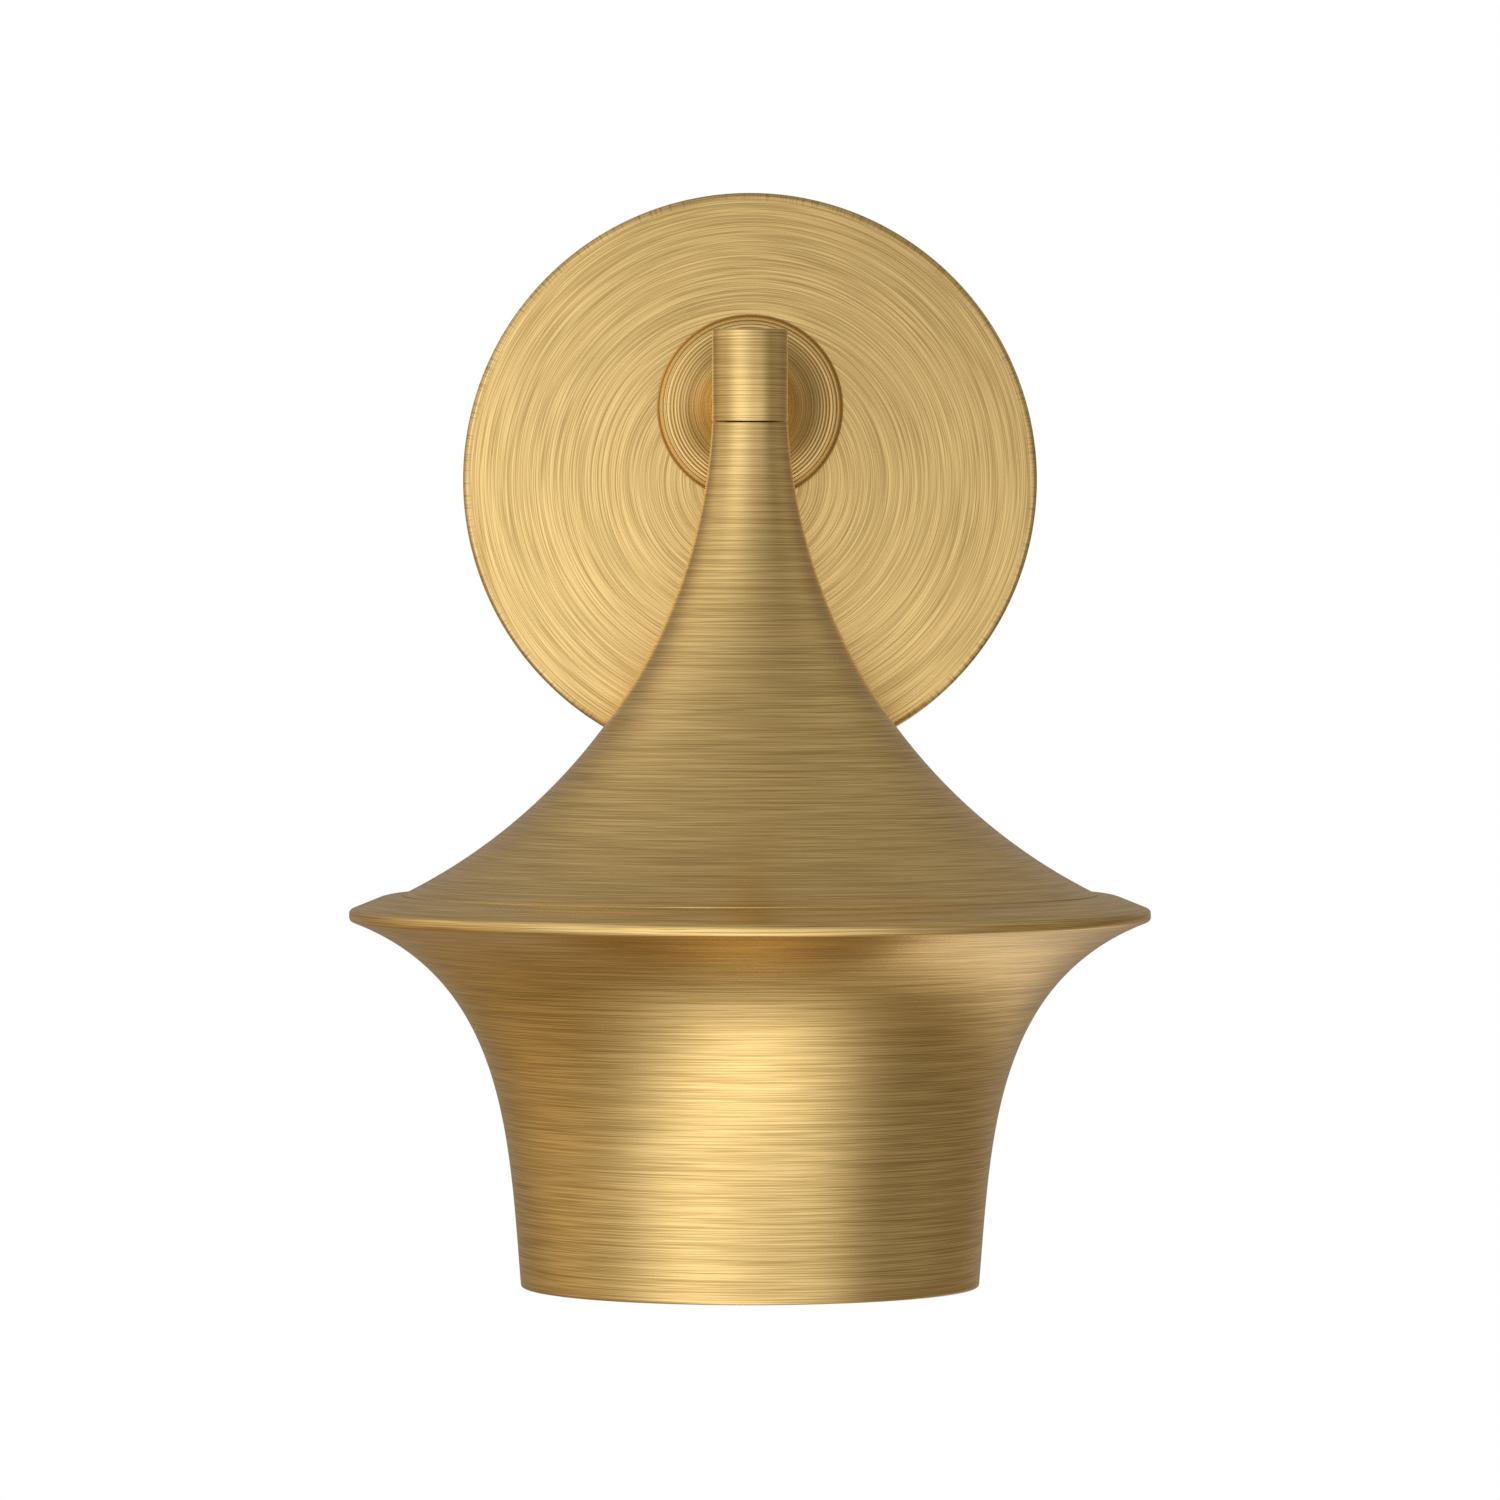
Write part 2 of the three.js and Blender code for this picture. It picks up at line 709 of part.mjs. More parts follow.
// A strip that is flat under the floor and bends down to the bulb's end contact.
function centreContactGeometry() {
  const t = contactThickness;
  const reach = contactReach;
  const line = [
    [-reach, 0],
    [-reach / 2, 0],
    [reach / 4, t - contactDrop],
    [reach, t - contactDrop],
    [reach, -contactDrop],
    [reach / 4 - t / 2, -contactDrop],
    [-reach / 2 - t / 2, -t],
    [-reach, -t],
  ];
  const side = new THREE.Shape(line.map(([x, y]) => new THREE.Vector2(x, y)));
  const strip = new THREE.ExtrudeGeometry(side, { depth: contactWidth, bevelEnabled: false });
  strip.translate(0, 0, -contactWidth / 2).rotateX(Math.PI / 2);
  return strip.translate(0, 0, shellTop);
}

function terminalScrewGeometry(side) {
  const low = floorTop + gap;
  const screw = join(
    drill(terminalHeadRadius, low, low + terminalHead, SIDES_TINY),
    drill(terminalShank, floorBottom, low + 1, SIDES_TINY),
  );
  return screw.translate(side * terminalOffset, 0, 0);
}

shade.add(piece("holder_cap", holderCapGeometry(), rawBrass));
shade.add(piece("holder_body", holderBodyGeometry(), porcelain));
shade.add(piece("screw_shell", screwShellGeometry(), nickel));
shade.add(piece("centre_contact", centreContactGeometry(), bronze));
shade.add(piece("live_terminal_screw", terminalScrewGeometry(1), rawBrass));
shade.add(piece("neutral_terminal_screw", terminalScrewGeometry(-1), nickel));

// ---------------------------------------------------------------- bulb

const bulbTop = shellTop - contactDrop - gap;
const bulb = new THREE.Group();
bulb.position.z = bulbTop;
shade.add(bulb);

// A globe with a long neck, open at the top where the cap closes it.
function globeFace(depth) {
  const centre = globeRadius - bulbLength;
  const meet = 24; // degrees above the globe's middle, where the neck runs into it
  const start = [bulbNeckRadius - depth, -bulbCapEnd - gap];
  const radius = globeRadius - depth;
  const round = arc(0, centre, radius, meet, -90, 6);
  const slope = radians(meet);
  const pull = globeRadius / 2;
  const neckPull = [start[0], start[1] - pull];
  const meetPull = [round[0][0] - pull * Math.sin(slope), round[0][1] + pull * Math.cos(slope)];
  const tip = round.pop();
  return [...cubic(start, neckPull, meetPull, round[0], 5), ...round.slice(1), [0, tip[1]]];
}

function bulbCapGeometry() {
  const [r, w] = [bulbCapRadius, bulbCapWall];
  const top = -bulbCapStart;
  return turned([
    [bulbInsulatorFoot + gap, top],
    [r, top - bulbCapShoulder],
    [r, -bulbCapEnd],
    [r - w, -bulbCapEnd],
    [r - w, top - bulbCapShoulder - w / 2],
    [bulbInsulatorFoot + gap, top - w],
  ]);
}

// The black glass between the cap and the end contact.
function bulbInsulatorGeometry() {
  return turned([
    [0, -bulbContactHeight - gap],
    [bulbInsulatorTop, -bulbContactHeight - gap],
    [bulbInsulatorFoot, -bulbCapStart],
    [bulbInsulatorFoot, -bulbCapStart - bulbCapWall],
    [0, -bulbCapStart - bulbCapWall],
  ]);
}

function bulbContactGeometry() {
  const round = bulbContactHeight / 2;
  return turned(
    [
      [0, -bulbContactHeight],
      [bulbContactRadius, -bulbContactHeight],
      [bulbContactRadius, -round],
      [bulbContactRadius - round, 0],
      [0, 0],
    ],
    SIDES_TINY,
  );
}

bulb.add(piece("bulb_globe", turned([...globeFace(0), ...globeFace(glassWall).reverse()]), opalGlass));
bulb.add(piece("bulb_cap", bulbCapGeometry(), nickel));
bulb.add(piece("bulb_insulator", bulbInsulatorGeometry(), blackGlass));
bulb.add(piece("bulb_contact", bulbContactGeometry(), nickel));

// ---------------------------------------------------------------- leads and connectors

// In this group x is to the right, y is towards the wall and z is up, from the middle of the plate.
const wiring = new THREE.Group();
sconce.add(wiring);

const connectorDepth = (plateFloor + strapThickness) / 2; // from the wall, midway in the pan
const leadInside = connectorBoreDepth - 2 * gap; // the length of lead inside a connector

// From a terminal screw up the threaded tube, back through the arm and down to a connector.
function supplyLeadGeometry(side) {
  const x = (side * leadSpacing) / 2;
  const mouth = side * connectorPitch;
  const axis = -projection;
  const beside = terminalHeadRadius + gap + leadRadius;
  const up = (height) => seamHeight + height;
  const bend = hubFoot - 1;
  const corridor = -(strapThickness + armStart) / 2;
  const down = (part) => armRise - part * (armRise + connectorTopDrop);
  const points = [
    [side * (terminalOffset - 1), axis - beside, up(floorTop + gap + leadRadius)],
    [side * (terminalOffset - 1), axis - beside, up(floorTop + holderRecess / 2)],
    [side * terminalOffset * 0.7, axis - beside * 0.7, up(bodyNeckTop - 1)],
    [x * 1.4, axis - 1, up((capShoulder + capTop) / 2)],
    [x, axis, up(stemEnd)],
    [x, axis, up((stemEnd + roofTop) / 2)],
    [x, axis, up(hubFoot - bend)],
    [x, axis + bend * 0.3, up(hubFoot - bend * 0.3)],
    [x, axis + bend, armRise],
    [x, axis + hubRadius + bend, armRise],
    [x, (axis - armStart) / 2, armRise],
    [x, -armStart - 2 * leadRadius, armRise],
    [x * 1.2, -armStart + leadRadius, armRise - gap],
    [x * 1.6, corridor, down(0.12)],
    [mouth * 0.35, corridor, down(0.32)],
    [mouth * 0.75, corridor, down(0.56)],
    [mouth, -connectorDepth, -connectorTopDrop + connectorMouthRadius],
    [mouth, -connectorDepth, -connectorTopDrop - gap],
    [mouth, -connectorDepth, -connectorTopDrop - leadInside],
  ];
  return strand(points, leadRadius, 44);
}

// From the face of the earth tag's tongue down to the middle connector.
function earthLeadGeometry() {
  const onTag = -(tagTop - tagThickness - 2 * gap - leadRadius);
  const tongueEnd = armRise - armHoleRadius - tagRim - tagTongueLength;
  const halfway = (tongueEnd - connectorTopDrop) / 2;
  return strand(
    [
      [0, onTag, tongueEnd + tagTongueLength / 2],
      [0, onTag, tongueEnd],
      [0, (onTag - connectorDepth) / 2, halfway],
      [0, -connectorDepth, -connectorTopDrop],
      [0, -connectorDepth, -connectorTopDrop - leadInside],
    ],
    leadRadius,
    10,
  );
}

// A tapered cap, open at the top, that twists on to the bared ends.
function connectorGeometry(place) {
  const top = -connectorTopDrop;
  const tip = top - connectorLength;
  const cap = turned(
    [
      [0, tip],
      [connectorTipRadius - 1, tip],
      [connectorTipRadius, tip + 1],
      [connectorMouthRadius, top],
      [connectorBore, top],
      [connectorBore, top - connectorBoreDepth],
      [0, top - connectorBoreDepth],
    ],
    SIDES_TINY,
  );
  return cap.translate(place * connectorPitch, -connectorDepth, 0);
}

wiring.add(piece("live_lead", supplyLeadGeometry(1), blackInsulation));
wiring.add(piece("neutral_lead", supplyLeadGeometry(-1), whiteInsulation));
wiring.add(piece("earth_lead", earthLeadGeometry(), greenInsulation));
wiring.add(piece("live_connector", connectorGeometry(1), orangePlastic));
wiring.add(piece("neutral_connector", connectorGeometry(-1), orangePlastic));
wiring.add(piece("earth_connector", connectorGeometry(0), greenPlastic));

export default sconce;
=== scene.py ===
"""A brass wall light. A spun shade, a concave conical roof over a flared cup, hangs from a short arm
on a round backplate. Metres, +Z up, the wall at y = 0 and the room on its -Y side."""

from math import atan2, cos, pi, radians, sin, sqrt, tan

import bpy
import numpy as np
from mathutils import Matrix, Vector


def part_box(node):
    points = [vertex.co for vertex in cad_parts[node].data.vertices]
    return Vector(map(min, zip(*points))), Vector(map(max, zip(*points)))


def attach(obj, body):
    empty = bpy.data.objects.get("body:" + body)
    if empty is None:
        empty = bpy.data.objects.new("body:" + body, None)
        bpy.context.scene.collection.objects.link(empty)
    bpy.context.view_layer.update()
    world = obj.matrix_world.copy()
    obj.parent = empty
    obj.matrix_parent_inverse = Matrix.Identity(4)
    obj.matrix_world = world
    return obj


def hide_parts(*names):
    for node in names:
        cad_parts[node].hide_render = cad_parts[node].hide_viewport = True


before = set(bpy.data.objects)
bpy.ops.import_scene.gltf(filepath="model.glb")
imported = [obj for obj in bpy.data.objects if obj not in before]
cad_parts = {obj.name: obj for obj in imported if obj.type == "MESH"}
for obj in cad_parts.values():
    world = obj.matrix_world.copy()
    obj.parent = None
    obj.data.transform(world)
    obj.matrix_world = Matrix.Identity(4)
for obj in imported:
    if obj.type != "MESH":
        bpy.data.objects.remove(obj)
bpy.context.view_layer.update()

# ------------------------------------------------------------------ camera
# A long lens at the height of the shade's roof, 1.86 m from the wall. It is square to the wall but
# for a very slight tip downwards.

camera_distance = 1.863
camera_height = -0.0267
camera_tip = 1.071
scene = bpy.context.scene
camera = bpy.data.objects.new("camera", bpy.data.cameras.new("camera"))
scene.collection.objects.link(camera)
scene.camera = camera
camera.data.sensor_width = 36
camera.data.lens = 195.1
camera.data.clip_start = 0.1
camera.data.clip_end = 20
camera.location = (0, -camera_distance, camera_height)
camera.rotation_euler = (radians(90 - camera_tip), 0, 0)

# ------------------------------------------------------------------ studio
# A white room. Soft boxes stand round the lamp, each one a patch of light that fades out from its
# middle. A pale floor lies well below, left out of the lamp's reflections.


class Board:
    """Lays out a node tree. add makes a node and sets its sockets, to values or to links. The others
    give the output of a sum, of a vector sum, of a change of range and of a mix of colours."""

    def __init__(self, tree):
        self.tree = tree
        self.count = 0

    def add(self, kind, sockets=None, **settings):
        node = self.tree.nodes.new(kind)
        node.location = (220 * (self.count % 8), -260 * (self.count // 8))
        self.count += 1
        for key, value in settings.items():
            setattr(node, key, value)
        for key, value in (sockets or {}).items():
            if isinstance(value, bpy.types.NodeSocket):
                self.tree.links.new(value, node.inputs[key])
            else:
                node.inputs[key].default_value = value
        return node

    def math(self, operation, a, b=0.0):
        return self.add("ShaderNodeMath", {0: a, 1: b}, operation=operation).outputs[0]

    def vector(self, operation, a, b):
        node = self.add("ShaderNodeVectorMath", {0: a, 1: b}, operation=operation)
        return node.outputs["Value" if operation == "DOT_PRODUCT" else "Vector"]

    def remap(self, value, low, high, to_low, to_high):
        labels = ("Value", "From Min", "From Max", "To Min", "To Max")
        sockets = dict(zip(labels, (value, low, high, to_low, to_high)))
        return self.add("ShaderNodeMapRange", sockets).outputs[0]

    def mix(self, factor, a, b):
        return self.add("ShaderNodeMix", {0: factor, 6: a, 7: b}, data_type="RGBA").outputs[2]


soft_boxes = [
    # azimuth from the front and elevation of its middle in degrees, how tight it is, strength
    (-42, 8, 7, 0.76),
    (-15, -6, 7, 0.42),
    (15, 6, 6, 0.16),
    (-4, 26, 8, 0.12),
    (34, -6, 13, 0.36),
    (-28, -30, 8, 0.4),
    (29, -33, 11, 0.3),
    (0, -52, 8, 1.2),
    (156, -42, 18, 0.8),
    (85, -8, 7, 0.1),
    (-95, 32, 6, 0.48),
    (95, 35, 6, 0.18),
    (0, 80, 3, 0.23),
    (180, 30, 3, 0.14),
]
warm_walls = [(0, 0, 0, 0.13), (-95, -8, 5, 0.18)]
brass_glow = [(180, -50, 2, 0.14), (-110, -20, 6, 0.1)]
pure_white = (1, 1, 1, 1)
warm_white = (1, 0.82, 0.54, 1)
brass_orange = (1, 0.58, 0.16, 1)

world = bpy.data.worlds.new("studio")
scene.world = world
world.use_nodes = True
world.node_tree.nodes.clear()
b = Board(world.node_tree)
way = b.add("ShaderNodeTexCoord").outputs["Generated"]


def glow(patches, colour):
    """A background lit by patches, summed. Each is its strength times the exponential of tight times
    the cosine of the angle from its middle less one."""
    total = 0.0
    for azimuth, elevation, tight, strength in patches:
        az, up = radians(azimuth), radians(elevation)
        middle = (sin(az) * cos(up), -cos(az) * cos(up), sin(up))
        off = b.math("SUBTRACT", b.vector("DOT_PRODUCT", way, middle), 1.0)
        patch = b.math("EXPONENT", b.math("MULTIPLY", off, tight))
        total = b.math("ADD", total, b.math("MULTIPLY", patch, strength))
    return b.add("ShaderNodeBackground", {"Color": colour, "Strength": total})


boxes = glow(soft_boxes, pure_white)
warm_room = glow(warm_walls, warm_white)
bounce = glow(brass_glow, brass_orange)
walls = b.add("ShaderNodeAddShader", {0: warm_room.outputs[0], 1: bounce.outputs[0]})
studio_light = b.add("ShaderNodeAddShader", {0: walls.outputs[0], 1: boxes.outputs[0]})
seen = b.add("ShaderNodeBackground", {"Color": pure_white, "Strength": 1.0})
camera_ray = b.add("ShaderNodeLightPath").outputs["Is Camera Ray"]
room = b.add("ShaderNodeMixShader", {0: camera_ray, 1: studio_light.outputs[0], 2: seen.outputs[0]})
b.add("ShaderNodeOutputWorld", {0: room.outputs[0]})
scene.view_settings.view_transform = "Standard"


def solid(name, points, faces, across=None, crease=32):
    """A mesh object from points and faces. across, one number for each corner of each face, is
    kept as the attribute that the grain runs square to. Edges sharper than crease stay sharp."""
    mesh = bpy.data.meshes.new(name)
    used, index = np.unique(np.concatenate([f.ravel() for f in faces]), return_inverse=True)
    parts = np.split(index, np.cumsum([f.size for f in faces])[:-1])
    rows = [row for part, f in zip(parts, faces) for row in part.reshape(f.shape).tolist()]
    mesh.from_pydata(np.asarray(points, float)[used].tolist(), [], rows)
    if across is not None:
        mesh.attributes.new("across", "FLOAT", "CORNER").data.foreach_set("value", across)
    mesh.shade_smooth()
    mesh.set_sharp_from_angle(angle=radians(crease))
    made = bpy.data.objects.new(name, mesh)
    scene.collection.objects.link(made)
    return made


def group(name, inputs, outputs, build):
    """A shader node group with named inputs and their defaults, and named outputs."""
    tree = bpy.data.node_groups.new(name, "ShaderNodeTree")
    for label, default in inputs:
        made = tree.interface.new_socket(label, in_out="INPUT", socket_type="NodeSocketFloat")
        made.default_value = default
    for label in outputs:
        tree.interface.new_socket(label, in_out="OUTPUT", socket_type="NodeSocketFloat")
    board = Board(tree)
    given = board.add("NodeGroupInput").outputs
    sink = board.add("NodeGroupOutput")
    for label, value in build(board, given).items():
        tree.links.new(value, sink.inputs[label])
    return tree


def mottle(b, given):
    """Handling marks: a slow change of tone, fine specks, and thin scratches where noise drawn out
    along two ways crosses a high level."""
    place = b.add("ShaderNodeTexCoord").outputs["Object"]

    def noise(scale, detail, stretch=(1, 1, 1)):
        drawn = b.vector("MULTIPLY", place, stretch)
        sockets = {"Vector": drawn, "Scale": scale, "Detail": detail, "Roughness": 0.6}
        return b.add("ShaderNodeTexNoise", sockets).outputs["Fac"]

    one = b.remap(noise(900.0, 1.0, (0.08, 1, 1)), 0.66, 0.72, 0.0, 1.0)
    other = b.remap(noise(1100.0, 1.0, (1, 0.9, 0.07)), 0.67, 0.73, 0.0, 1.0)
    fine = b.math("MULTIPLY", given["Fineness"], 2200.0)
    slow = b.math("MULTIPLY", given["Fineness"], 90.0)
    crossed = b.math("MAXIMUM", one, other)
    return {"Tone": noise(slow, 3.0), "Speck": noise(fine, 2.0), "Scratch": crossed}


mottle_group = group("mottle", [("Fineness", 1.0)], ["Tone", "Speck", "Scratch"], mottle)


def stuff(
    name, light, dark, roughness, metallic=0.0, bump=0.00001, fineness=1.0, coat=0.0, scratch=0.5
):
    """A plain material with handling marks: light and dark are mixed by the slow tone and the specks,
    and scratches show lighter and rougher."""
    material = bpy.data.materials.new(name)
    material.use_nodes = True
    tree = material.node_tree
    b = Board(tree)
    marks = b.add("ShaderNodeGroup", node_tree=mottle_group)
    marks.inputs["Fineness"].default_value = fineness
    tone = b.remap(marks.outputs["Tone"], 0.3, 0.7, 0.0, 1.0)
    speck = b.remap(marks.outputs["Speck"], 0.35, 0.7, 0.0, 0.6)
    mottled = b.mix(speck, b.mix(tone, (*dark, 1), (*light, 1)), (*dark, 1))
    shown = b.math("MULTIPLY", marks.outputs["Scratch"], scratch)
    base = b.mix(shown, mottled, tuple(min(1.0, c * 1.25 + 0.02) for c in light) + (1,))
    worn = b.remap(marks.outputs["Tone"], 0.3, 0.7, roughness - 0.05, roughness + 0.07)
    rough = b.math("ADD", worn, b.math("MULTIPLY", shown, 0.15))
    rise = b.math("SUBTRACT", marks.outputs["Speck"], b.math("MULTIPLY", shown, 0.6))
    height = b.add("ShaderNodeBump", {"Height": rise, "Distance": bump, "Strength": 1.0})
    shader = tree.nodes["Principled BSDF"]
    shader.inputs["Metallic"].default_value = metallic
    shader.inputs["Coat Weight"].default_value = coat
    for key, value in {"Base Color": base, "Roughness": rough, "Normal": height.outputs[0]}.items():
        tree.links.new(value, shader.inputs[key])
    return material


floor_half = 4
floor_height = -2.3
floor_glow = 0.35
floor_corners = [
    (x * floor_half, y * floor_half, floor_height) for x, y in ((-1, -1), (1, -1), (1, 1), (-1, 1))
]
floor = solid("floor", np.array(floor_corners), [np.array([[0, 1, 2, 3]])])
floor_paint = stuff("floor_paint", (0.9, 0.9, 0.89), (0.87, 0.87, 0.86), 0.7, scratch=0.0)
floor_shader = floor_paint.node_tree.nodes["Principled BSDF"]
floor_shader.inputs["Emission Color"].default_value = pure_white
floor_shader.inputs["Emission Strength"].default_value = floor_glow
floor.data.materials.append(floor_paint)
floor.visible_glossy = False
floor.visible_diffuse = False

# ------------------------------------------------------------------ mounting strap
# A zinc-plated steel bar that screws to the outlet box through two slots. Its ends are bent
# forward into ears that the fixing screws press on.

gap = 0.0003
strap_low, strap_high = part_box("mounting_strap")
ear = strap_high.x
ear_depth = -strap_low.y
strap_half = strap_high.z
strap_sheet = 0.002
strap_bend = 0.003
slot_half = 0.0025
slot_near = 0.035
slot_far = 0.04445
earth_offset = -0.021
earth_radius = 0.0024

WAYS = {
    "up": ((1, 0, 0), (0, 1, 0), (0, 0, 1)),
    "down": ((1, 0, 0), (0, -1, 0), (0, 0, -1)),
    "front": ((1, 0, 0), (0, 0, 1), (0, -1, 0)),
    "right": ((0, 1, 0), (0, 0, 1), (1, 0, 0)),
    "left": ((0, 0, 1), (0, 1, 0), (-1, 0, 0)),
}


def arc(centre, radius, start, end, steps=8):
    """Points on the circle of that radius about centre, at angles from start to end in degrees."""
    t = np.radians(np.linspace(start, end, steps + 1))[:, None]
    return np.array(centre) + radius * np.hstack([np.cos(t), np.sin(t)])


def corner(before, at, after, radius, steps=5):
    """The arc of that radius that rounds the corner at, tangent to the lines from before and to
    after. Its centre lies on the bisector, as far from the corner as radius over the sine of half
    the angle."""
    at = np.array(at, float)
    a = (np.array(before) - at) / np.linalg.norm(np.array(before) - at)
    c = (np.array(after) - at) / np.linalg.norm(np.array(after) - at)
    half = np.arccos(np.clip(a @ c, -1, 1)) / 2
    middle = (a + c) / np.linalg.norm(a + c)
    centre = at + middle * radius / sin(half)
    first, last = at + a * radius / tan(half), at + c * radius / tan(half)
    t0 = atan2(*(first - centre)[::-1])
    t1 = atan2(*(last - centre)[::-1])
    turn = (t1 - t0 + pi) % (2 * pi) - pi
    return arc(centre, radius, np.degrees(t0), np.degrees(t0 + turn), steps)


def outline(*parts):
    """One closed outline from points and arrays of points. A point followed by a number is a corner
    rounded to that radius."""
    flat = []
    for part in parts:
        if isinstance(part, (int, float)):
            flat[-1][1] = part
        else:
            flat += [[p, 0.0] for p in np.atleast_2d(np.array(part, float))]
    points = [p for p, _ in flat]
    made = []
    for i, (p, radius) in enumerate(flat):
        nearby = points[i - 1], p, points[(i + 1) % len(points)]
        made.append(corner(*nearby, radius) if radius else p[None])
    joined = np.vstack(made)
    step = np.linalg.norm(joined - np.roll(joined, 1, axis=0), axis=1)
    return joined[step > 1e-7]


def prism(name, shape, low, high, foot, way):
    """An outline drawn out from low to high along the way's axis. Each point is foot plus its two sizes
    along the way's first two directions, and the height along the third."""
    u, v, w = (np.array(d, float) for d in WAYS[way])
    p = np.asarray(shape, float)
    after = np.roll(p, -1, axis=0)
    if np.sum(p[:, 0] * after[:, 1] - after[:, 0] * p[:, 1]) < 0:
        p = p[::-1]
    n = len(p)
    flat = np.array(foot, float) + p[:, :1] * u + p[:, 1:] * v
    i = np.arange(n)
    j = np.roll(i, -1)
    sides = np.stack([i, j, j + n, i + n], axis=1)
    return solid(name, np.vstack([flat + low * w, flat + high * w]), [sides, i[None, ::-1], i[None] + n])


def turned(name, profile, foot, way="up", around=192, shape=None):
    """Surface of revolution. Each point of the profile, a radius and a height, goes round the way's
    axis: foot plus radius times the cosine of the angle along the first direction, its sine along
    the second, and the height along the axis. The profile closes on itself, or starts and ends on
    the axis. shape changes the radius by radius, height and angle, for threads and flats."""
    u, v, w = (np.array(d, float) for d in WAYS[way])
    p = np.asarray(profile, float)
    after = np.roll(p, -1, axis=0)
    if np.sum(p[:, 0] * after[:, 1] - after[:, 0] * p[:, 1]) < 0:
        p = p[::-1]
    n = len(p)
    a = np.arange(around) * (2 * pi / around)
    r, h = p[:, :1], p[:, 1:]
    radius = np.broadcast_to(r, (n, around)) if shape is None else shape(r, h, a[None])
    spread = radius[..., None] * (np.cos(a)[:, None] * u + np.sin(a)[:, None] * v)
    points = (np.array(foot, float) + spread + h[..., None] * w).reshape(-1, 3)
    index = np.arange(n * around).reshape(n, around)
    pole = p[:, 0] < 1e-9
    index[pole] = index[pole][:, :1]
    run = np.concatenate([[0], np.cumsum(np.linalg.norm(np.roll(p, -1, axis=0) - p, axis=1))])
    low = np.arange(n)[~(pole & np.roll(pole, -1))]
    high = (low + 1) % n
    ring = np.roll(index, -1, axis=1)
    quads = np.stack([index[low], ring[low], ring[high], index[high]], axis=-1)
    corners = run[np.stack([low, low, low + 1, low + 1], axis=-1)]
    values = np.broadcast_to(corners[:, None], quads.shape)
    lower, upper = pole[low], pole[high]
    plain = ~(lower | upper)
    faces = [quads[plain].reshape(-1, 4), quads[lower][..., 1:].reshape(-1, 3)]
    faces.append(quads[upper][..., :3].reshape(-1, 3))
    across = [values[plain], values[lower][..., 1:], values[upper][..., :3]]
    return solid(name, points, faces, np.concatenate([x.ravel() for x in across]))


def rod(name, radius, low, high, foot, way, around=64):
    """A plain cylinder along way, between two heights over foot."""
    return turned(name, [(0, low), (radius, low), (radius, high), (0, high)], foot, way, around)


def cut(piece, *cutters, bevel=0.0):
    """Takes the cutters' solids out of the piece, removes them, and rounds the edges by bevel."""
    for tool in cutters:
        boolean = piece.modifiers.new("cut", "BOOLEAN")
        boolean.operation = "DIFFERENCE"
        boolean.object = tool
        boolean.solver = "EXACT"
    if bevel:
        rounding = piece.modifiers.new("edges", "BEVEL")
        rounding.width = bevel
        rounding.segments = 2
        rounding.angle_limit = radians(40)
    now = piece.evaluated_get(bpy.context.evaluated_depsgraph_get())
    mesh = bpy.data.meshes.new_from_object(now)
    piece.modifiers.clear()
    piece.data = mesh
    mesh.shade_smooth()
    mesh.set_sharp_from_angle(angle=radians(32))
    for tool in cutters:
        bpy.data.objects.remove(tool)
    return piece


def settle(piece, body, node, material):
    """Gives the piece its material, the body it moves with and the CAD node that it stands for."""
    piece.data.materials.clear()
    piece.data.materials.append(material)
    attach(piece, body)
    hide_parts(node)
    return piece


def slot_tool(side):
    """An oblong cutter, half a circle at each end, on one side of the strap."""
    ends = [arc((slot_far, 0), slot_half, -90, 90, 12), arc((slot_near, 0), slot_half, 90, 270, 12)]
    return prism("slot_tool", np.vstack(ends) * (side, 1), -0.001, 0.004, (0, 0, 0), "front")


zinc = stuff("zinc_plate", (0.62, 0.63, 0.64), (0.42, 0.43, 0.44), 0.38, 1.0, 0.000008, 0.6)
inner = ear - strap_sheet
strap = prism(
    "mounting_bar",
    outline(
        (-ear, ear_depth),
        (-ear, 0), strap_bend,
        (ear, 0), strap_bend,
        (ear, ear_depth),
        (inner, ear_depth),
        (inner, strap_sheet), strap_bend - strap_sheet,
        (-inner, strap_sheet), strap_bend - strap_sheet,
        (-inner, ear_depth),
    ),
    -strap_half,
    strap_half,
    (0, 0, 0),
    "down",
)
earth_foot = (earth_offset, 0, 0)
earth_hole = rod("earth_hole", earth_radius + gap, -0.001, 0.004, earth_foot, "front", 32)
cut(strap, slot_tool(1), slot_tool(-1), earth_hole, bevel=0.00025)
settle(strap, "bracket", "mounting_strap", zinc)

# ------------------------------------------------------------------ earth screw
# A steel screw with a slotted hexagon head, painted green. It is threaded into the strap, and
# clamps the house's earth wire.

earth_head = 0.0053
earth_across = 0.008


def hexagon(across, radius, a):
    """The smaller of radius and the distance to a hexagon's flat, which is half of across over the
    cosine of the angle from the flat's middle."""
    return np.minimum(radius, across / 2 / np.cos((a + pi / 6) % (pi / 3) - pi / 6))


def thread(radius, low, high, pitch, depth):
    """A shape for turned: on the wall at that radius, between two heights, it sinks a V-thread. That
    is depth times a triangle wave of the height in pitches less the angle in turns, and it runs out
    softly over one pitch at each end."""

    def sunk(r, h, a):
        wave = np.abs(2 * ((h / pitch - a / (2 * pi)) % 1) - 1)
        run_out = np.clip(np.minimum(h - low, high - h) / pitch, 0, 1)
        return r - depth * wave * run_out * (np.abs(r - radius) < 1e-6)

    return sunk


def line(start, end, steps):
    """Points spaced evenly from start to end."""
    return np.linspace(start, end, steps + 1)


def earth_shape(r, h, a):
    """Thread on the shank, and six flats where the head is wider."""
    shank = thread(earth_radius, gap, strap_sheet + gap, 0.0008, 0.0004)(r, h, a)
    return np.where(r > earth_radius + 1e-5, hexagon(earth_across, r, a), shank)


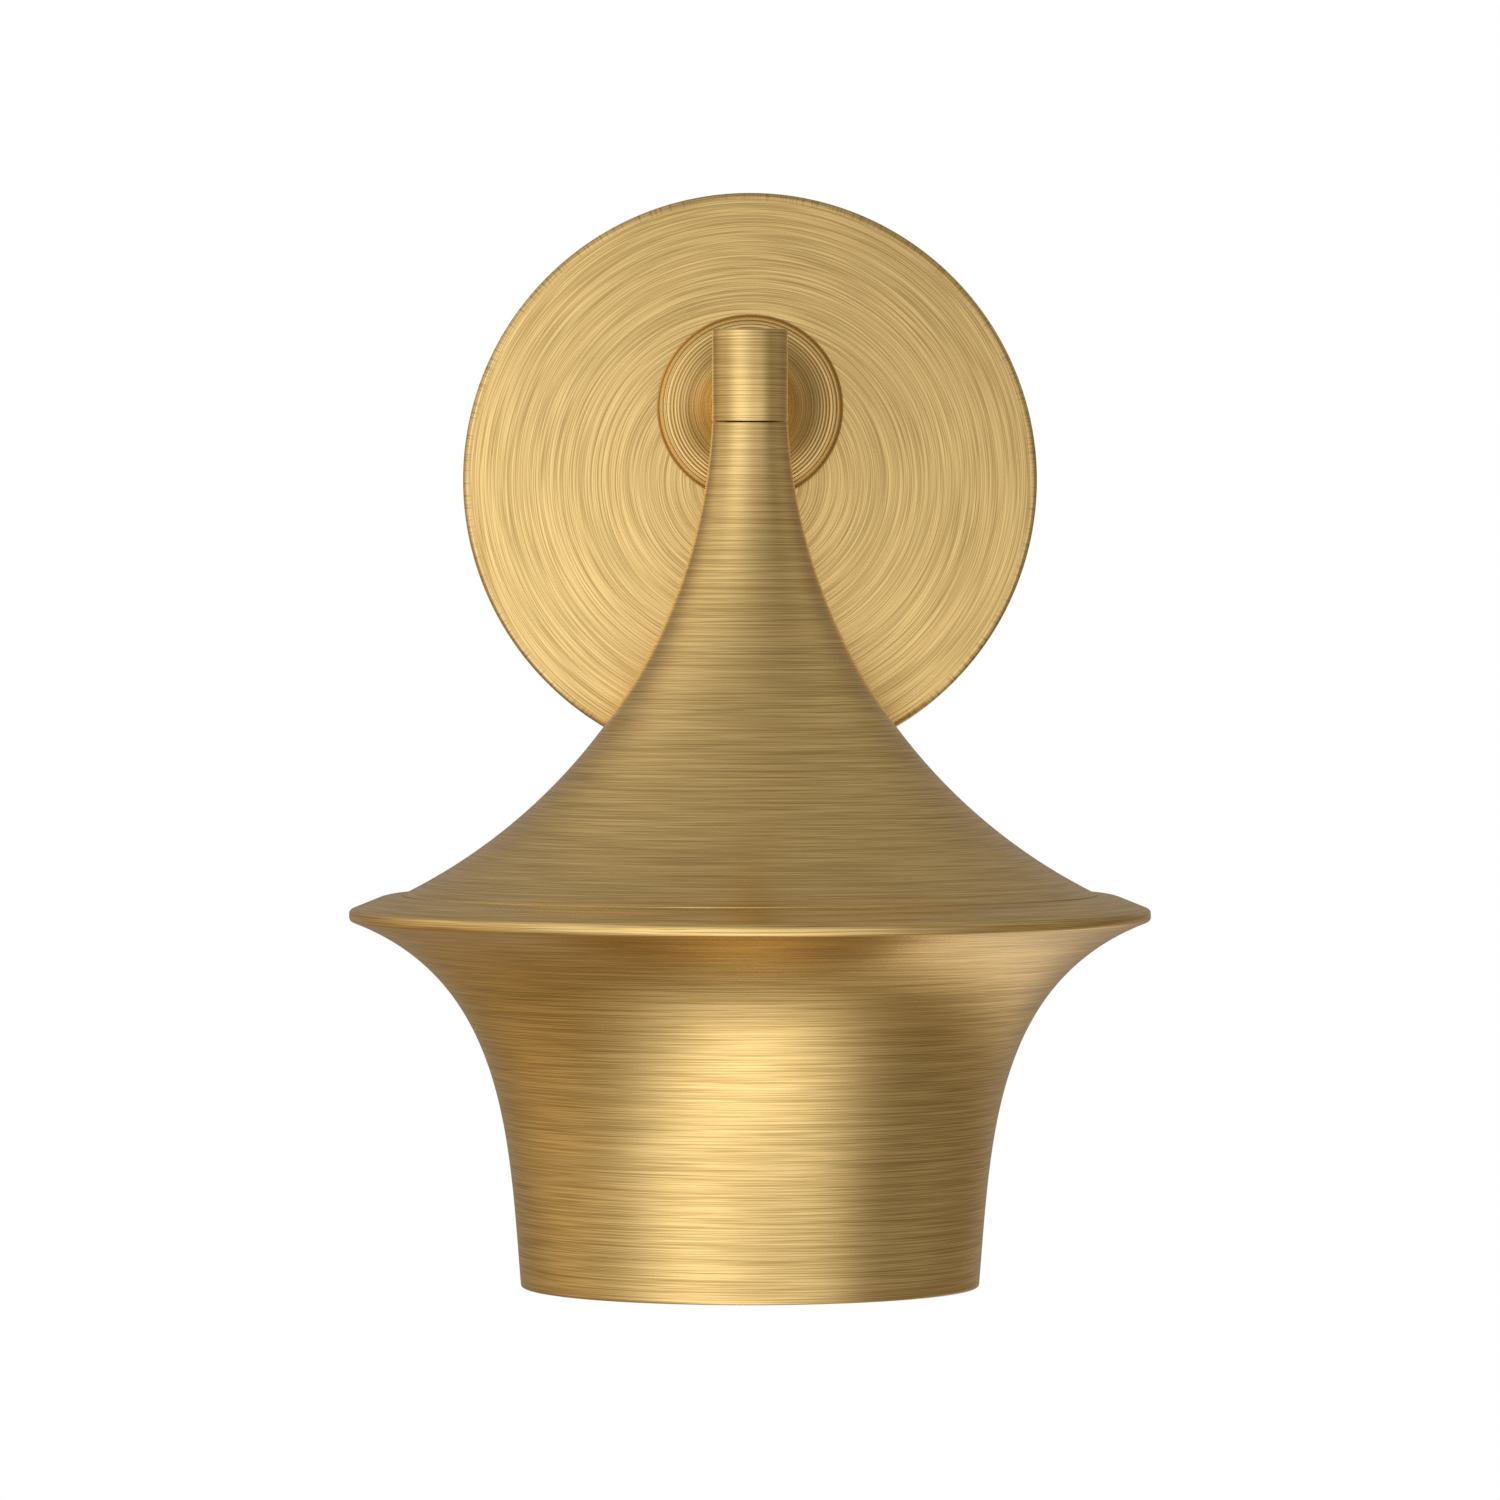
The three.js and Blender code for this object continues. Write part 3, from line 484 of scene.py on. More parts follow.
earth_corner = earth_across / sqrt(3)
earth_screw = turned(
    "earthing_screw",
    outline(
        (0, gap),
        line((earth_radius, gap), (earth_radius, strap_sheet + gap), 16),
        (earth_corner - 0.0004, strap_sheet + gap),
        (earth_corner, strap_sheet + gap + 0.0004),
        (earth_corner, earth_head - 0.0005),
        (earth_corner - 0.0008, earth_head),
        (0, earth_head),
    ),
    earth_foot,
    "front",
    96,
    earth_shape,
)
driver_slot = [(-0.006, -0.0006), (0.006, -0.0006), (0.006, 0.0006), (-0.006, 0.0006)]
cut(earth_screw, prism("driver_slot", driver_slot, earth_head - 0.0012, 0.01, earth_foot, "front"))
green = stuff("green_paint", (0.06, 0.3, 0.1), (0.035, 0.2, 0.065), 0.4, 0.3, 0.00001, 1.0)
settle(earth_screw, "bracket", "earth_screw", green)

# ------------------------------------------------------------------ backplate
# A shallow pan, spun from 1.5 mm brass and brushed in circles on the lathe while it turned. It
# covers the outlet box. The arm goes through a hole above its centre, and two screws clamp its side.

plate_low, plate_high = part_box("backplate")
plate_radius = plate_high.x
plate_depth = -plate_low.y
plate_wall = 0.0015
plate_edge = 0.0012
arm_low, arm_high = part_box("arm_tube")
arm_height = (arm_low.z + arm_high.z) / 2
arm_radius = (arm_high.x - arm_low.x) / 2
arm_foot = (0, 0, arm_height)
screw_low, screw_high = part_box("right_fixing_screw")
screw_foot = (0, (screw_low.y + screw_high.y) / 2, 0)
screw_radius = (screw_high.z - screw_low.z) / 2
brass_bright = (0.95, 0.69, 0.3, 1)
brass_warm = (0.585, 0.395, 0.145, 1)
brass_cool = (0.55, 0.39, 0.15, 1)
brass_deep = (0.3, 0.18, 0.055, 1)
brass_roughness = 0.27
brass_stretch = 0.75
hair_darkness = 0.6
tick_darkness = 0.8
# Painted shade in the collar's groove valleys and painted shadow at its foot: how dark it is, how
# sharply it gathers in the valleys, and the share of the rim's round that is all dark.
painted_shade_darkness = 0.95
painted_shade_power = 1.3
seam_share = 0.55
dome_top = (0, 0, -0.028)


def lathe_grain(b, given):
    """Scratches that a pad leaves on turning metal. Four-dimensional noise: its three axes follow the
    surface slowly, so a scratch is long, and its fourth runs fast with the distance across."""
    place = b.add("ShaderNodeTexCoord").outputs["Object"]
    across = b.add("ShaderNodeAttribute", attribute_name="across").outputs["Fac"]

    def scratches(length, width, detail, rough):
        slower = {0: place, 3: b.math("DIVIDE", 1.0, length)}
        slow = b.add("ShaderNodeVectorMath", slower, operation="SCALE").outputs[0]
        fast = b.math("DIVIDE", across, width)
        sockets = {"Vector": slow, "W": fast, "Scale": 1.0, "Detail": detail, "Roughness": rough}
        return b.add("ShaderNodeTexNoise", sockets, noise_dimensions="4D").outputs["Fac"]

    def times(label, factor):
        return b.math("MULTIPLY", given[label], factor)

    fine = scratches(given["Length"], given["Width"], 1.0, 0.6)
    wide = scratches(times("Length", 2.0), times("Width", 3.0), 2.0, 0.55)
    tone = scratches(times("Length", 4.0), times("Width", 14.0), 1.0, 0.5)
    hair = b.remap(scratches(times("Length", 0.8), times("Width", 0.8), 1.0, 0.6), 0.4, 0.3, 0.0, 1.0)
    grain = b.math("ADD", b.math("MULTIPLY", fine, 0.85), b.math("MULTIPLY", wide, 0.15))
    return {"Grain": grain, "Hair": hair, "Wide": wide, "Tone": tone}


grain_group = group(
    "lathe_grain", [("Length", 0.02), ("Width", 0.0003)], ["Grain", "Hair", "Wide", "Tone"], lathe_grain
)


def rim_ticks(b, given):
    """Short dark marks square to a disc's edge, where the pad ran off it: noise that runs fast with
    the angle about Y, shown only within Reach of the edge between its Radius and its Depth."""
    place = b.add("ShaderNodeTexCoord").outputs["Object"]
    flat = b.vector("MULTIPLY", place, (1, 0, 1))
    out = b.add("ShaderNodeVectorMath", {0: flat}, operation="LENGTH").outputs["Value"]
    ray = b.add("ShaderNodeVectorMath", {0: flat}, operation="NORMALIZE").outputs[0]
    sockets = {"Vector": ray, "Scale": 130.0, "Detail": 1.0, "Roughness": 0.6}
    marks = b.remap(b.add("ShaderNodeTexNoise", sockets).outputs["Fac"], 0.52, 0.62, 0.0, 1.0)
    start = b.math("SUBTRACT", given["Radius"], given["Reach"])
    near = b.add("ShaderNodeMapRange", {"Value": out, "From Min": start, "From Max": given["Radius"]})
    depth = b.math("MULTIPLY", b.vector("DOT_PRODUCT", place, (0, 1, 0)), -1.0)
    back = b.math("SUBTRACT", given["Depth"], given["Reach"])
    front = b.add("ShaderNodeMapRange", {"Value": depth, "From Min": back, "From Max": given["Depth"]})
    return {"Ticks": b.math("MULTIPLY", marks, b.math("MULTIPLY", near.outputs[0], front.outputs[0]))}


ticks_group = group(
    "rim_ticks", [("Radius", 0.065), ("Depth", 0.022), ("Reach", 0.0022)], ["Ticks"], rim_ticks
)


def groove_painted_shade(b, given):
    """Painted shade in turned grooves: one less the size of a sine with a ridge each Pitch, raised to
    painted_shade_power, times an exponential that dies out over Fade, all along the distance across
    beyond Start. It darkens the valleys where the ridges' steep sides would be in shade. In the seam,
    well before Start, all is dark: a painted shadow where the collar meets the plate."""
    across = b.add("ShaderNodeAttribute", attribute_name="across").outputs["Fac"]
    s = b.math("SUBTRACT", across, given["Start"])
    wave = b.math("SINE", b.math("DIVIDE", b.math("MULTIPLY", s, pi), given["Pitch"]))
    valley = b.math("POWER", b.math("SUBTRACT", 1.0, b.math("ABSOLUTE", wave)), painted_shade_power)
    fade = b.math("EXPONENT", b.math("DIVIDE", b.math("MULTIPLY", s, -1.0), given["Fade"]))
    seam = b.math("LESS_THAN", across, b.math("MULTIPLY", given["Start"], seam_share))
    return {"Painted_Shade": b.math("MINIMUM", b.math("MAXIMUM", b.math("MULTIPLY", valley, fade), seam), 1.0)}


painted_shade_group = group(
    "groove_painted_shade", [("Start", 0.0), ("Pitch", 0.001), ("Fade", 0.01)], ["Painted_Shade"], groove_painted_shade
)


def brushed(name, centre, axis, length=0.02, width=0.0003, bump=0.00001, ticks=(), dome=0.0, painted_shade=()):
    """Brass brushed in circles about an axis through centre. Its shine is stretched square to the
    scratches, which show as bump, in the roughness, as bands of warmer and cooler colour and as
    dark hairs. The bump can dome it too, sinking by dome times the square of the distance from
    dome_top. ticks is the radius and depth of a disc with a marked rim, painted_shade the start,
    pitch and fade of the shade painted into its grooves and of the shadow painted at their seam."""
    material = bpy.data.materials.new(name)
    material.use_nodes = True
    tree = material.node_tree
    b = Board(tree)
    scratch = b.add("ShaderNodeGroup", node_tree=grain_group)
    scratch.inputs["Length"].default_value = length
    scratch.inputs["Width"].default_value = width
    grain = b.remap(scratch.outputs["Grain"], 0.41, 0.59, 0.0, 1.0)
    tone = b.remap(scratch.outputs["Tone"], 0.3, 0.7, 0.0, 1.0)
    smooth = b.mix(grain, b.mix(tone, brass_warm, brass_cool), brass_bright)
    hair = b.math("MULTIPLY", scratch.outputs["Hair"], hair_darkness)
    if ticks:
        rim = b.add("ShaderNodeGroup", node_tree=ticks_group)
        rim.inputs["Radius"].default_value, rim.inputs["Depth"].default_value = ticks
        hair = b.math("MAXIMUM", hair, b.math("MULTIPLY", rim.outputs["Ticks"], tick_darkness))
    # Painted shade: it darkens the valleys of the grooves and the rim's foot where it meets the plate.
    if painted_shade:
        dark = b.add("ShaderNodeGroup", node_tree=painted_shade_group)
        for label, value in zip(("Start", "Pitch", "Fade"), painted_shade):
            dark.inputs[label].default_value = value
        hair = b.math("MAXIMUM", hair, b.math("MULTIPLY", dark.outputs["Painted_Shade"], painted_shade_darkness))
    base = b.mix(hair, smooth, brass_deep)
    rough = b.remap(scratch.outputs["Wide"], 0.3, 0.7, brass_roughness + 0.015, brass_roughness - 0.015)
    place = b.add("ShaderNodeTexCoord").outputs["Object"]
    out = b.vector("SUBTRACT", place, centre)
    rise = b.math("MULTIPLY", scratch.outputs["Grain"], bump)
    if dome:
        off = b.vector("SUBTRACT", place, dome_top)
        rise = b.math("SUBTRACT", rise, b.math("MULTIPLY", b.vector("DOT_PRODUCT", off, off), dome))
    height = b.add("ShaderNodeBump", {"Height": rise, "Distance": 1.0, "Strength": 1.0})
    circle = b.vector("CROSS_PRODUCT", axis, out)
    shader = tree.nodes["Principled BSDF"]
    shader.inputs["Metallic"].default_value = 1.0
    shader.inputs["Anisotropic"].default_value = brass_stretch
    shader.inputs["Anisotropic Rotation"].default_value = 0.25
    links = {"Base Color": base, "Roughness": rough, "Normal": height.outputs[0], "Tangent": circle}
    for key, value in links.items():
        tree.links.new(value, shader.inputs[key])
    return material


plate_rim = (plate_radius, plate_depth)
plate_brass = brushed("plate_brass", (0, 0, 0), (0, 1, 0), 0.024, 0.00017, 0.000009, plate_rim, 0.45)
plate_inside = plate_radius - plate_wall
plate = turned(
    "backplate_pan",
    outline(
        (0, plate_depth - plate_wall),
        (plate_inside, plate_depth - plate_wall), 0.0008,
        (plate_inside, 0), 0.0003,
        (plate_radius, 0), 0.0003,
        (plate_radius, plate_depth), plate_edge,
        (0, plate_depth),
    ),
    (0, 0, 0),
    "front",
    around=320,
)
cut(
    plate,
    rod("arm_hole", arm_radius + gap, 0.01, 0.03, arm_foot, "front"),
    rod("screw_hole", screw_radius + gap, -0.07, 0.07, screw_foot, "right"),
)
settle(plate, "fixture", "backplate", plate_brass)

# ------------------------------------------------------------------ fixing nuts and screws
# On each side a weld nut inside the pan takes a headless brass screw with a hexagon socket. Its
# cone tip presses on the strap's ear.

nut_radius = 0.0045
nut_length = 0.0056
key_across = 0.002
key_depth = 0.0024
screw_tip = screw_low.x
screw_end = screw_high.x
brass_cut = stuff("turned_brass", (0.82, 0.6, 0.28), (0.62, 0.44, 0.19), 0.33, 1.0, 0.000008, 0.8)


def screw_shape(r, h, a):
    """Thread outside, and a hexagon inside, where the socket is."""
    outside = thread(screw_radius, screw_tip, screw_end, 0.0007, 0.0003)(r, h, a)
    return np.where(r < screw_radius - 0.0005, hexagon(key_across, r, a), outside)


key_corner = key_across / sqrt(3)
nut_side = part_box("right_fixing_nut")[1].x
for side, body in (("left", "left_screw"), ("right", "right_screw")):
    nut = turned(
        side + "_weld_nut",
        outline(
            (screw_radius + gap, nut_side - nut_length), 0.0003,
            (nut_radius, nut_side - nut_length), 0.0005,
            (nut_radius, nut_side),
            (screw_radius + gap, nut_side),
        ),
        screw_foot,
        side,
        64,
    )
    settle(nut, "fixture", side + "_fixing_nut", zinc)
    screw = turned(
        side + "_grub_screw",
        outline(
            (0, screw_tip),
            (screw_radius - 0.0006, screw_tip),
            line((screw_radius, screw_tip + 0.0006), (screw_radius, screw_end - 0.0002), 80),
            (screw_radius - 0.0002, screw_end),
            (key_corner + 0.0001, screw_end),
            (key_corner, screw_end - 0.0001),
            (key_corner, screw_end - key_depth),
            (0, screw_end - key_depth - 0.0005),
        ),
        screw_foot,
        side,
        48,
        screw_shape,
    )
    settle(screw, body, side + "_fixing_screw", brass_cut)

# ------------------------------------------------------------------ arm
# Brass tube, coped to fit round the hub and threaded at its wall end. A spun trumpet collar hides
# where it enters the plate, its face turned coarsely so that rings show.

arm_wall = 0.0012
arm_start = -arm_high.y
flare_low, flare_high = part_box("arm_flare")
flare_radius = flare_high.x
flare_foot = -flare_high.y
flare_top = -flare_low.y
flare_wall = 0.0012
flare_edge = 0.0007
flare_slope = radians(28)
hub_low, hub_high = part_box("hub")
shade_y = (hub_low.y + hub_high.y) / 2
hub_radius = hub_high.x
seam = hub_low.z
shade_foot = (0, shade_y, seam)


def cubic(p0, p1, p2, p3, steps=40, shift=0.0):
    """Points of the cubic Bezier curve from p0 to p3 with p1 and p2 as its handles, each moved to the
    curve's left by shift."""
    t = np.linspace(0, 1, steps + 1)[:, None]
    p0, p1, p2, p3 = (np.array(p) for p in (p0, p1, p2, p3))
    point = (1 - t) ** 3 * p0 + 3 * (1 - t) ** 2 * t * p1 + 3 * (1 - t) * t**2 * p2 + t**3 * p3
    way = (1 - t) ** 2 * (p1 - p0) + 2 * (1 - t) * t * (p2 - p1) + t**2 * (p3 - p2)
    way /= np.linalg.norm(way, axis=1, keepdims=True)
    return point + shift * np.stack([-way[:, 1], way[:, 0]], axis=1)


def ridged(points):
    """Turning ridges: each point sinks by ridge_height times one less the size of a sine with a ridge
    each ridge_pitch, times an exponential that dies out over ridge_fade from the rim. A narrow
    bell-shaped groove parts the lip from them."""
    steps = np.diff(points, axis=0)
    s = np.concatenate([[0], np.cumsum(np.linalg.norm(steps, axis=1))])
    way = np.gradient(points, axis=0)
    way /= np.linalg.norm(way, axis=1, keepdims=True)
    sink = ridge_height * (np.abs(np.sin(pi * s / ridge_pitch)) - 1) * np.exp(-s / ridge_fade)
    sink *= np.clip(s / groove_at, 0, 1)
    sink -= groove_depth * np.exp(-(((s - groove_at) / groove_half) ** 2))
    return points + sink[:, None] * np.stack([way[:, 1], -way[:, 0]], axis=1)


ridge_height = 0.0003
ridge_pitch = 0.00095
ridge_fade = 0.009
groove_at = 0.0003
groove_half = 0.00015
groove_depth = 0.0004
arm_end = -shade_y
thread_end = 0.0195
arm_brass = brushed("arm_brass", arm_foot, (0, 1, 0), 0.012, 0.0002)
arm = turned(
    "arm_pipe",
    outline(
        (arm_radius - arm_wall, arm_start), 0.0002,
        (arm_radius - 0.0003, arm_start),
        line((arm_radius, arm_start + 0.0003), (arm_radius, thread_end), 60),
        line((arm_radius, thread_end + 0.002), (arm_radius, arm_end), 8),
        (arm_radius - arm_wall, arm_end),
    ),
    arm_foot,
    "front",
    96,
    thread(arm_radius, arm_start, thread_end, 0.001, 0.0004),
)
cut(arm, rod("cope", hub_radius + gap, -0.02, 0.02, (0, shade_y, arm_height), "up", 160))
settle(arm, "fixture", "arm_tube", arm_brass)

rim_start, rim_stop = -90, 62
rim_pull, throat_pull = 0.010, 0.020
rim = arc((flare_radius - flare_edge, flare_foot + flare_edge), flare_edge, rim_start, rim_stop, 8)
throat = np.array([arm_radius + gap + flare_wall, flare_top])
flare_pull = rim[-1] + rim_pull * np.array([-cos(flare_slope), sin(flare_slope)])
flare_line = (rim[-1], flare_pull, throat - (0, throat_pull), throat)
flare_outside = ridged(cubic(*flare_line, steps=420))
flare_inside = cubic(*flare_line, steps=40, shift=flare_wall)[::-1]
flare = turned(
    "arm_collar",
    outline(rim, flare_outside[1:], flare_inside, (flare_inside[-1][0], flare_foot)),
    arm_foot,
    "front",
    around=224,
)
# Where the painted shade in the collar's grooves starts, beyond the rim's round, with its ridge pitch
# and fade. The rim's foot below is painted as shadow.
flare_painted_shade = (flare_edge * radians(rim_stop - rim_start), ridge_pitch, ridge_fade)
collar_brass = brushed("collar_brass", arm_foot, (0, 1, 0), 0.12, 0.0003, 0.00003, painted_shade=flare_painted_shade)
settle(flare, "fixture", "arm_flare", collar_brass)

# ------------------------------------------------------------------ arm fasteners
# Inside the pan a steel tag for the earth lead, a washer and a brass nut hold the arm. The tag is
# pressed from 0.8 mm sheet with a hole at the foot of its tongue.

tag_low, tag_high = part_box("earth_tag")
tag_front, tag_back = -tag_low.y, -tag_high.y
tag_radius = tag_high.x
tongue_half = 0.0025
tongue_end = tag_low.z - arm_height
hole_radius = arm_radius + gap
side_angle = np.degrees(np.arcsin(tongue_half / tag_radius))
tag = prism(
    "earthing_tag",
    outline(
        arc((0, 0), tag_radius, side_angle - 90, 270 - side_angle, 72),
        (-tongue_half, tongue_end), 0.0018,
        (tongue_half, tongue_end), 0.0018,
    ),
    tag_back,
    tag_front,
    arm_foot,
    "front",
)
tag_holes = rod("tag_bore", hole_radius, 0.01, 0.03, arm_foot, "front")
eyelet = rod("tag_eyelet", 0.0008, 0.01, 0.03, (0, 0, tag_low.z + 0.0022), "front", 32)
cut(tag, tag_holes, eyelet, bevel=0.00012)
settle(tag, "fixture", "earth_tag", zinc)


def ring(name, node, hole, outer, low, high, foot, way, slot_name, material, shape=None):
    """A flat ring with softened edges, between two heights over foot."""
    profile = outline(
        (hole, low), 0.0002, (outer, low), 0.0003, (outer, high), 0.0003, (hole, high), 0.0002
    )
    settle(turned(name, profile, foot, way, 96, shape), "fixture", node, material)


def nut_shape(across, hole):
    """Six flats outside, the bore round."""
    return lambda r, h, a: np.where(r > hole + 0.0003, hexagon(across, r, a), r)


washer_low, washer_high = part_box("arm_washer")
ring(
    "arm_flat_washer", "arm_washer", hole_radius, washer_high.x, -washer_high.y, -washer_low.y,
    arm_foot, "front", "zinc_steel", zinc,
)
armnut_low, armnut_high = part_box("arm_nut")
nut_low, nut_high = -armnut_high.y, -armnut_low.y
arm_nut_across = 2 * (arm_radius + 0.002)
corner_radius = arm_nut_across / sqrt(3)
arm_nut = turned(
    "arm_locknut",
    outline(
        (hole_radius, nut_low), 0.0003,
        (corner_radius - 0.0008, nut_low),
        (corner_radius, nut_low + 0.0005),
        (corner_radius, nut_high - 0.0005),
        (corner_radius - 0.0008, nut_high),
        (hole_radius, nut_high), 0.0003,
    ),
    arm_foot,
    "front",
    96,
    nut_shape(arm_nut_across, hole_radius),
)
settle(arm_nut, "fixture", "arm_nut", brass_cut)

# ------------------------------------------------------------------ hub
# A barrel turned from brass bar, closed at the top and bored from below. The arm is brazed into its
# back and the shade hangs under it.

hub_height = hub_high.z - seam
hub_top_wall = 0.002
tube_radius = 0.005
tube_bore = 0.0039
stem_hole = tube_radius + gap
shade_brass = brushed("shade_brass", (0, shade_y, 0), (0, 0, 1), 0.026, 0.00016)
hub = turned(
    "hub_barrel",
    outline(
        (0, hub_height - hub_top_wall),
        (stem_hole, hub_height - hub_top_wall),
        (stem_hole, 0), 0.0002,
        (hub_radius, 0), 0.0002,
        (hub_radius, hub_height), 0.0004,
        (0, hub_height),
    ),
    shade_foot,
    around=160,
)
window_start = arm_end - hub_radius - 0.001
window = rod("hub_window", arm_radius - arm_wall, window_start, arm_end, arm_foot, "front")
cut(hub, window)
settle(hub, "fixture", "hub", shade_brass)

# ------------------------------------------------------------------ neck fittings
# A threaded brass tube hangs from the hub. On it a tapered bush centres the roof's neck, and a
# steel washer and a brass nut clamp it from inside.


def heights(node):
    """The node's lowest and highest points, from the seam between hub and roof."""
    low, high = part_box(node)
    return low.z - seam, high.z - seam


stem_low, stem_high = heights("stem")
stem = turned(
    "threaded_pipe",
    outline(
        (tube_bore, stem_low), 0.0002,
        (tube_radius - 0.0003, stem_low),
        line((tube_radius, stem_low + 0.0003), (tube_radius, stem_high - 0.0003), 300),
        (tube_radius - 0.0003, stem_high),
        (tube_bore, stem_high), 0.0002,
    ),
    shade_foot,
    "up",
    48,
    thread(tube_radius, stem_low, stem_high, 0.001, 0.0004),
)
cut(stem, rod("stem_window", 0.0032, arm_end - 0.009, arm_end, arm_foot, "front", 48))
settle(stem, "fixture", "stem", brass_cut)

sheet = 0.0012
roof_drop = 0.1022
roof_foot_radius = 0.0751
roof_arc_radius = 0.1203


def arc_centre(p, q, radius):
    """The centre of the arc of that radius from p to q, on the side away from the axis."""
    p, q = np.array(p), np.array(q)
    chord = q - p
    length = np.linalg.norm(chord)
    along = chord / length
    return (p + q) / 2 + sqrt(radius**2 - length**2 / 4) * np.array([-along[1], along[0]])


roof_centre = arc_centre((hub_radius, 0), (roof_foot_radius, -roof_drop), roof_arc_radius)


def roof_line(depth, top, foot, steps):
    """The roof's arc set in by depth, between two heights. Each radius is the centre's, less the leg
    of a right triangle that has the arc's radius as its long side and the height as its other leg."""
    h = np.linspace(top, foot, steps + 1)
    r = roof_centre[0] - np.sqrt((roof_arc_radius + depth) ** 2 - (h - roof_centre[1]) ** 2)
    return np.stack([r, h], axis=1)


bush_low, bush_high = heights("neck_bush")
bush_taper = roof_line(sheet + gap, bush_high, bush_low, 24)
bush_line = outline((stem_hole, bush_high), bush_taper, (stem_hole, bush_low))
bush = turned("neck_cone", bush_line, shade_foot, around=96)
settle(bush, "fixture", "neck_bush", brass_cut)
neck_low, neck_high = heights("neck_washer")
neck_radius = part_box("neck_washer")[1].x
ring(
    "neck_flat_washer", "neck_washer", stem_hole, neck_radius, neck_low, neck_high,
    shade_foot, "up", "zinc_steel", zinc,
)
neck_across = 2 * (tube_radius + 0.002)
nut_low, nut_high = heights("neck_nut")
ring(
    "neck_locknut", "neck_nut", stem_hole, neck_across / sqrt(3), nut_low, nut_high,
    shade_foot, "up", "raw_brass", brass_cut, nut_shape(neck_across, stem_hole),
)

# ------------------------------------------------------------------ roof of the shade
# A tall concave cone, spun from 1.2 mm sheet, its line one arc of a circle. Its flat top is clamped
# under the hub, and a stepped flange at its foot goes into the fold of the cup's brim.

roof_low, roof_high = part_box("roof")
flange_low = roof_low.z - seam
flange_radius = roof_high.x
inner_foot = roof_foot_radius - sheet
inner_foot_height = roof_centre[1] - sqrt(
    (roof_arc_radius + sheet) ** 2 - (roof_centre[0] - inner_foot) ** 2
)
roof = turned(
    "shade_roof",
    outline(
        (stem_hole, -gap),
        roof_line(0, -gap, -roof_drop, 110),
        (roof_foot_radius, flange_low + sheet),
        (flange_radius, flange_low + sheet),
        (flange_radius, flange_low),
        (inner_foot, flange_low),
        roof_line(sheet, inner_foot_height, -gap - sheet, 70),
        (stem_hole, -gap - sheet),
    ),
    shade_foot,
    around=288,
)
settle(roof, "fixture", "roof", shade_brass)

# ------------------------------------------------------------------ cup of the shade
# A flared cup, spun from the same sheet. Its upper edge is folded back over the roof's flange and
# rolled down to a thin round brim.

cup_low, cup_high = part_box("cup")
brim_radius = cup_high.x
brim_drop = 0.1066
hem_radius = sheet + 0.00045
hem_above = 22
hem_below = 21.5
hem_corner = 0.0011
crest_radius = 0.0083
crest_drop = 0.10235
mouth_radius = 0.0496
shade_height = seam - cup_low.z
brim_pull = 0.0356
mouth_pull = 0.0314
mouth_draft = radians(4.7)


def cup_face(depth, steps):
    """One face of the cup's sheet, set in by depth: the crest's arc, the slope tangent to it, the
    brim's fold, then one cubic curve down to the mouth. The fold is round inside. Outside it is
    rolled flat to a narrow band between the tangents of that round, with softened corners."""
    edge = np.array([brim_radius - hem_radius, -brim_drop])
    above, below = radians(90 - hem_above), radians(hem_below - 90)
    slope_top = edge + hem_radius * np.array([cos(above), sin(above)])
    fall = slope_top[1] + crest_drop + crest_radius * (1 - sin(above))
    crest_r = slope_top[0] + fall / tan(radians(hem_above)) - crest_radius * cos(above)
    start = edge + hem_radius * np.array([cos(below), sin(below)])
    band = edge + hem_radius * np.array([(1, tan(above / 2)), (1, tan(below / 2))])
    if depth:
        fold = arc(edge, hem_radius - depth, 90 - hem_above, hem_below - 90, 16)
    else:
        upper = corner(slope_top, *band, hem_corner, 4)
        fold = np.vstack([[slope_top], upper, corner(*band, start, hem_corner, 4), [start]])
    end = np.array([mouth_radius, -shade_height])
    start_pull = start + brim_pull * np.array([sin(below), -cos(below)])
    end_pull = end + mouth_pull * np.array([sin(mouth_draft), cos(mouth_draft)])
    return np.vstack([
        [(roof_foot_radius + 0.00005, -crest_drop - depth)],
        arc((crest_r, -crest_drop - crest_radius), crest_radius - depth, 90, 90 - hem_above, 10),
        fold,
        cubic(start, start_pull, end_pull, end, steps, -depth)[1:],
    ])


cup_outside = cup_face(0, 110)
cup_inside = cup_face(sheet, 70)[::-1]
cup = turned(
    "shade_cup",
    outline(cup_outside[:-1], cup_outside[-1], 0.0005, cup_inside[0], 0.0004, cup_inside[1:]),
    shade_foot,
    around=320,
)
settle(cup, "fixture", "cup", shade_brass)

# ------------------------------------------------------------------ lampholder
# A brass cap screwed on the threaded tube carries a glazed porcelain body. In the body are a
# rolled screw shell, a spring contact and two slotted terminal screws.

cap_low, cap_high = heights("holder_cap")
holder_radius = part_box("holder_cap")[1].x
cap_wall = 0.0015
cap_top_radius = 0.0095
collar_radius = stem_hole + 0.0026
cap_top = cap_high - 0.0055
cap_shoulder = cap_top - 0.014
holder_cap = turned(
    "lampholder_cap",
    outline(
        (stem_hole, cap_high), 0.0003,
        (collar_radius, cap_high), 0.0006,
        (collar_radius, cap_top), 0.0006,
        (cap_top_radius, cap_top), 0.0007,
        (holder_radius, cap_shoulder), 0.003,
        (holder_radius, cap_low), 0.0004,
        (holder_radius - cap_wall, cap_low), 0.0003,
        (holder_radius - cap_wall, cap_shoulder - cap_wall / 2), 0.002,
        (cap_top_radius - cap_wall / 2, cap_top - cap_wall),
        (stem_hole, cap_top - cap_wall),
    ),
    shade_foot,
    around=128,
)
settle(holder_cap, "fixture", "holder_cap", brass_cut)

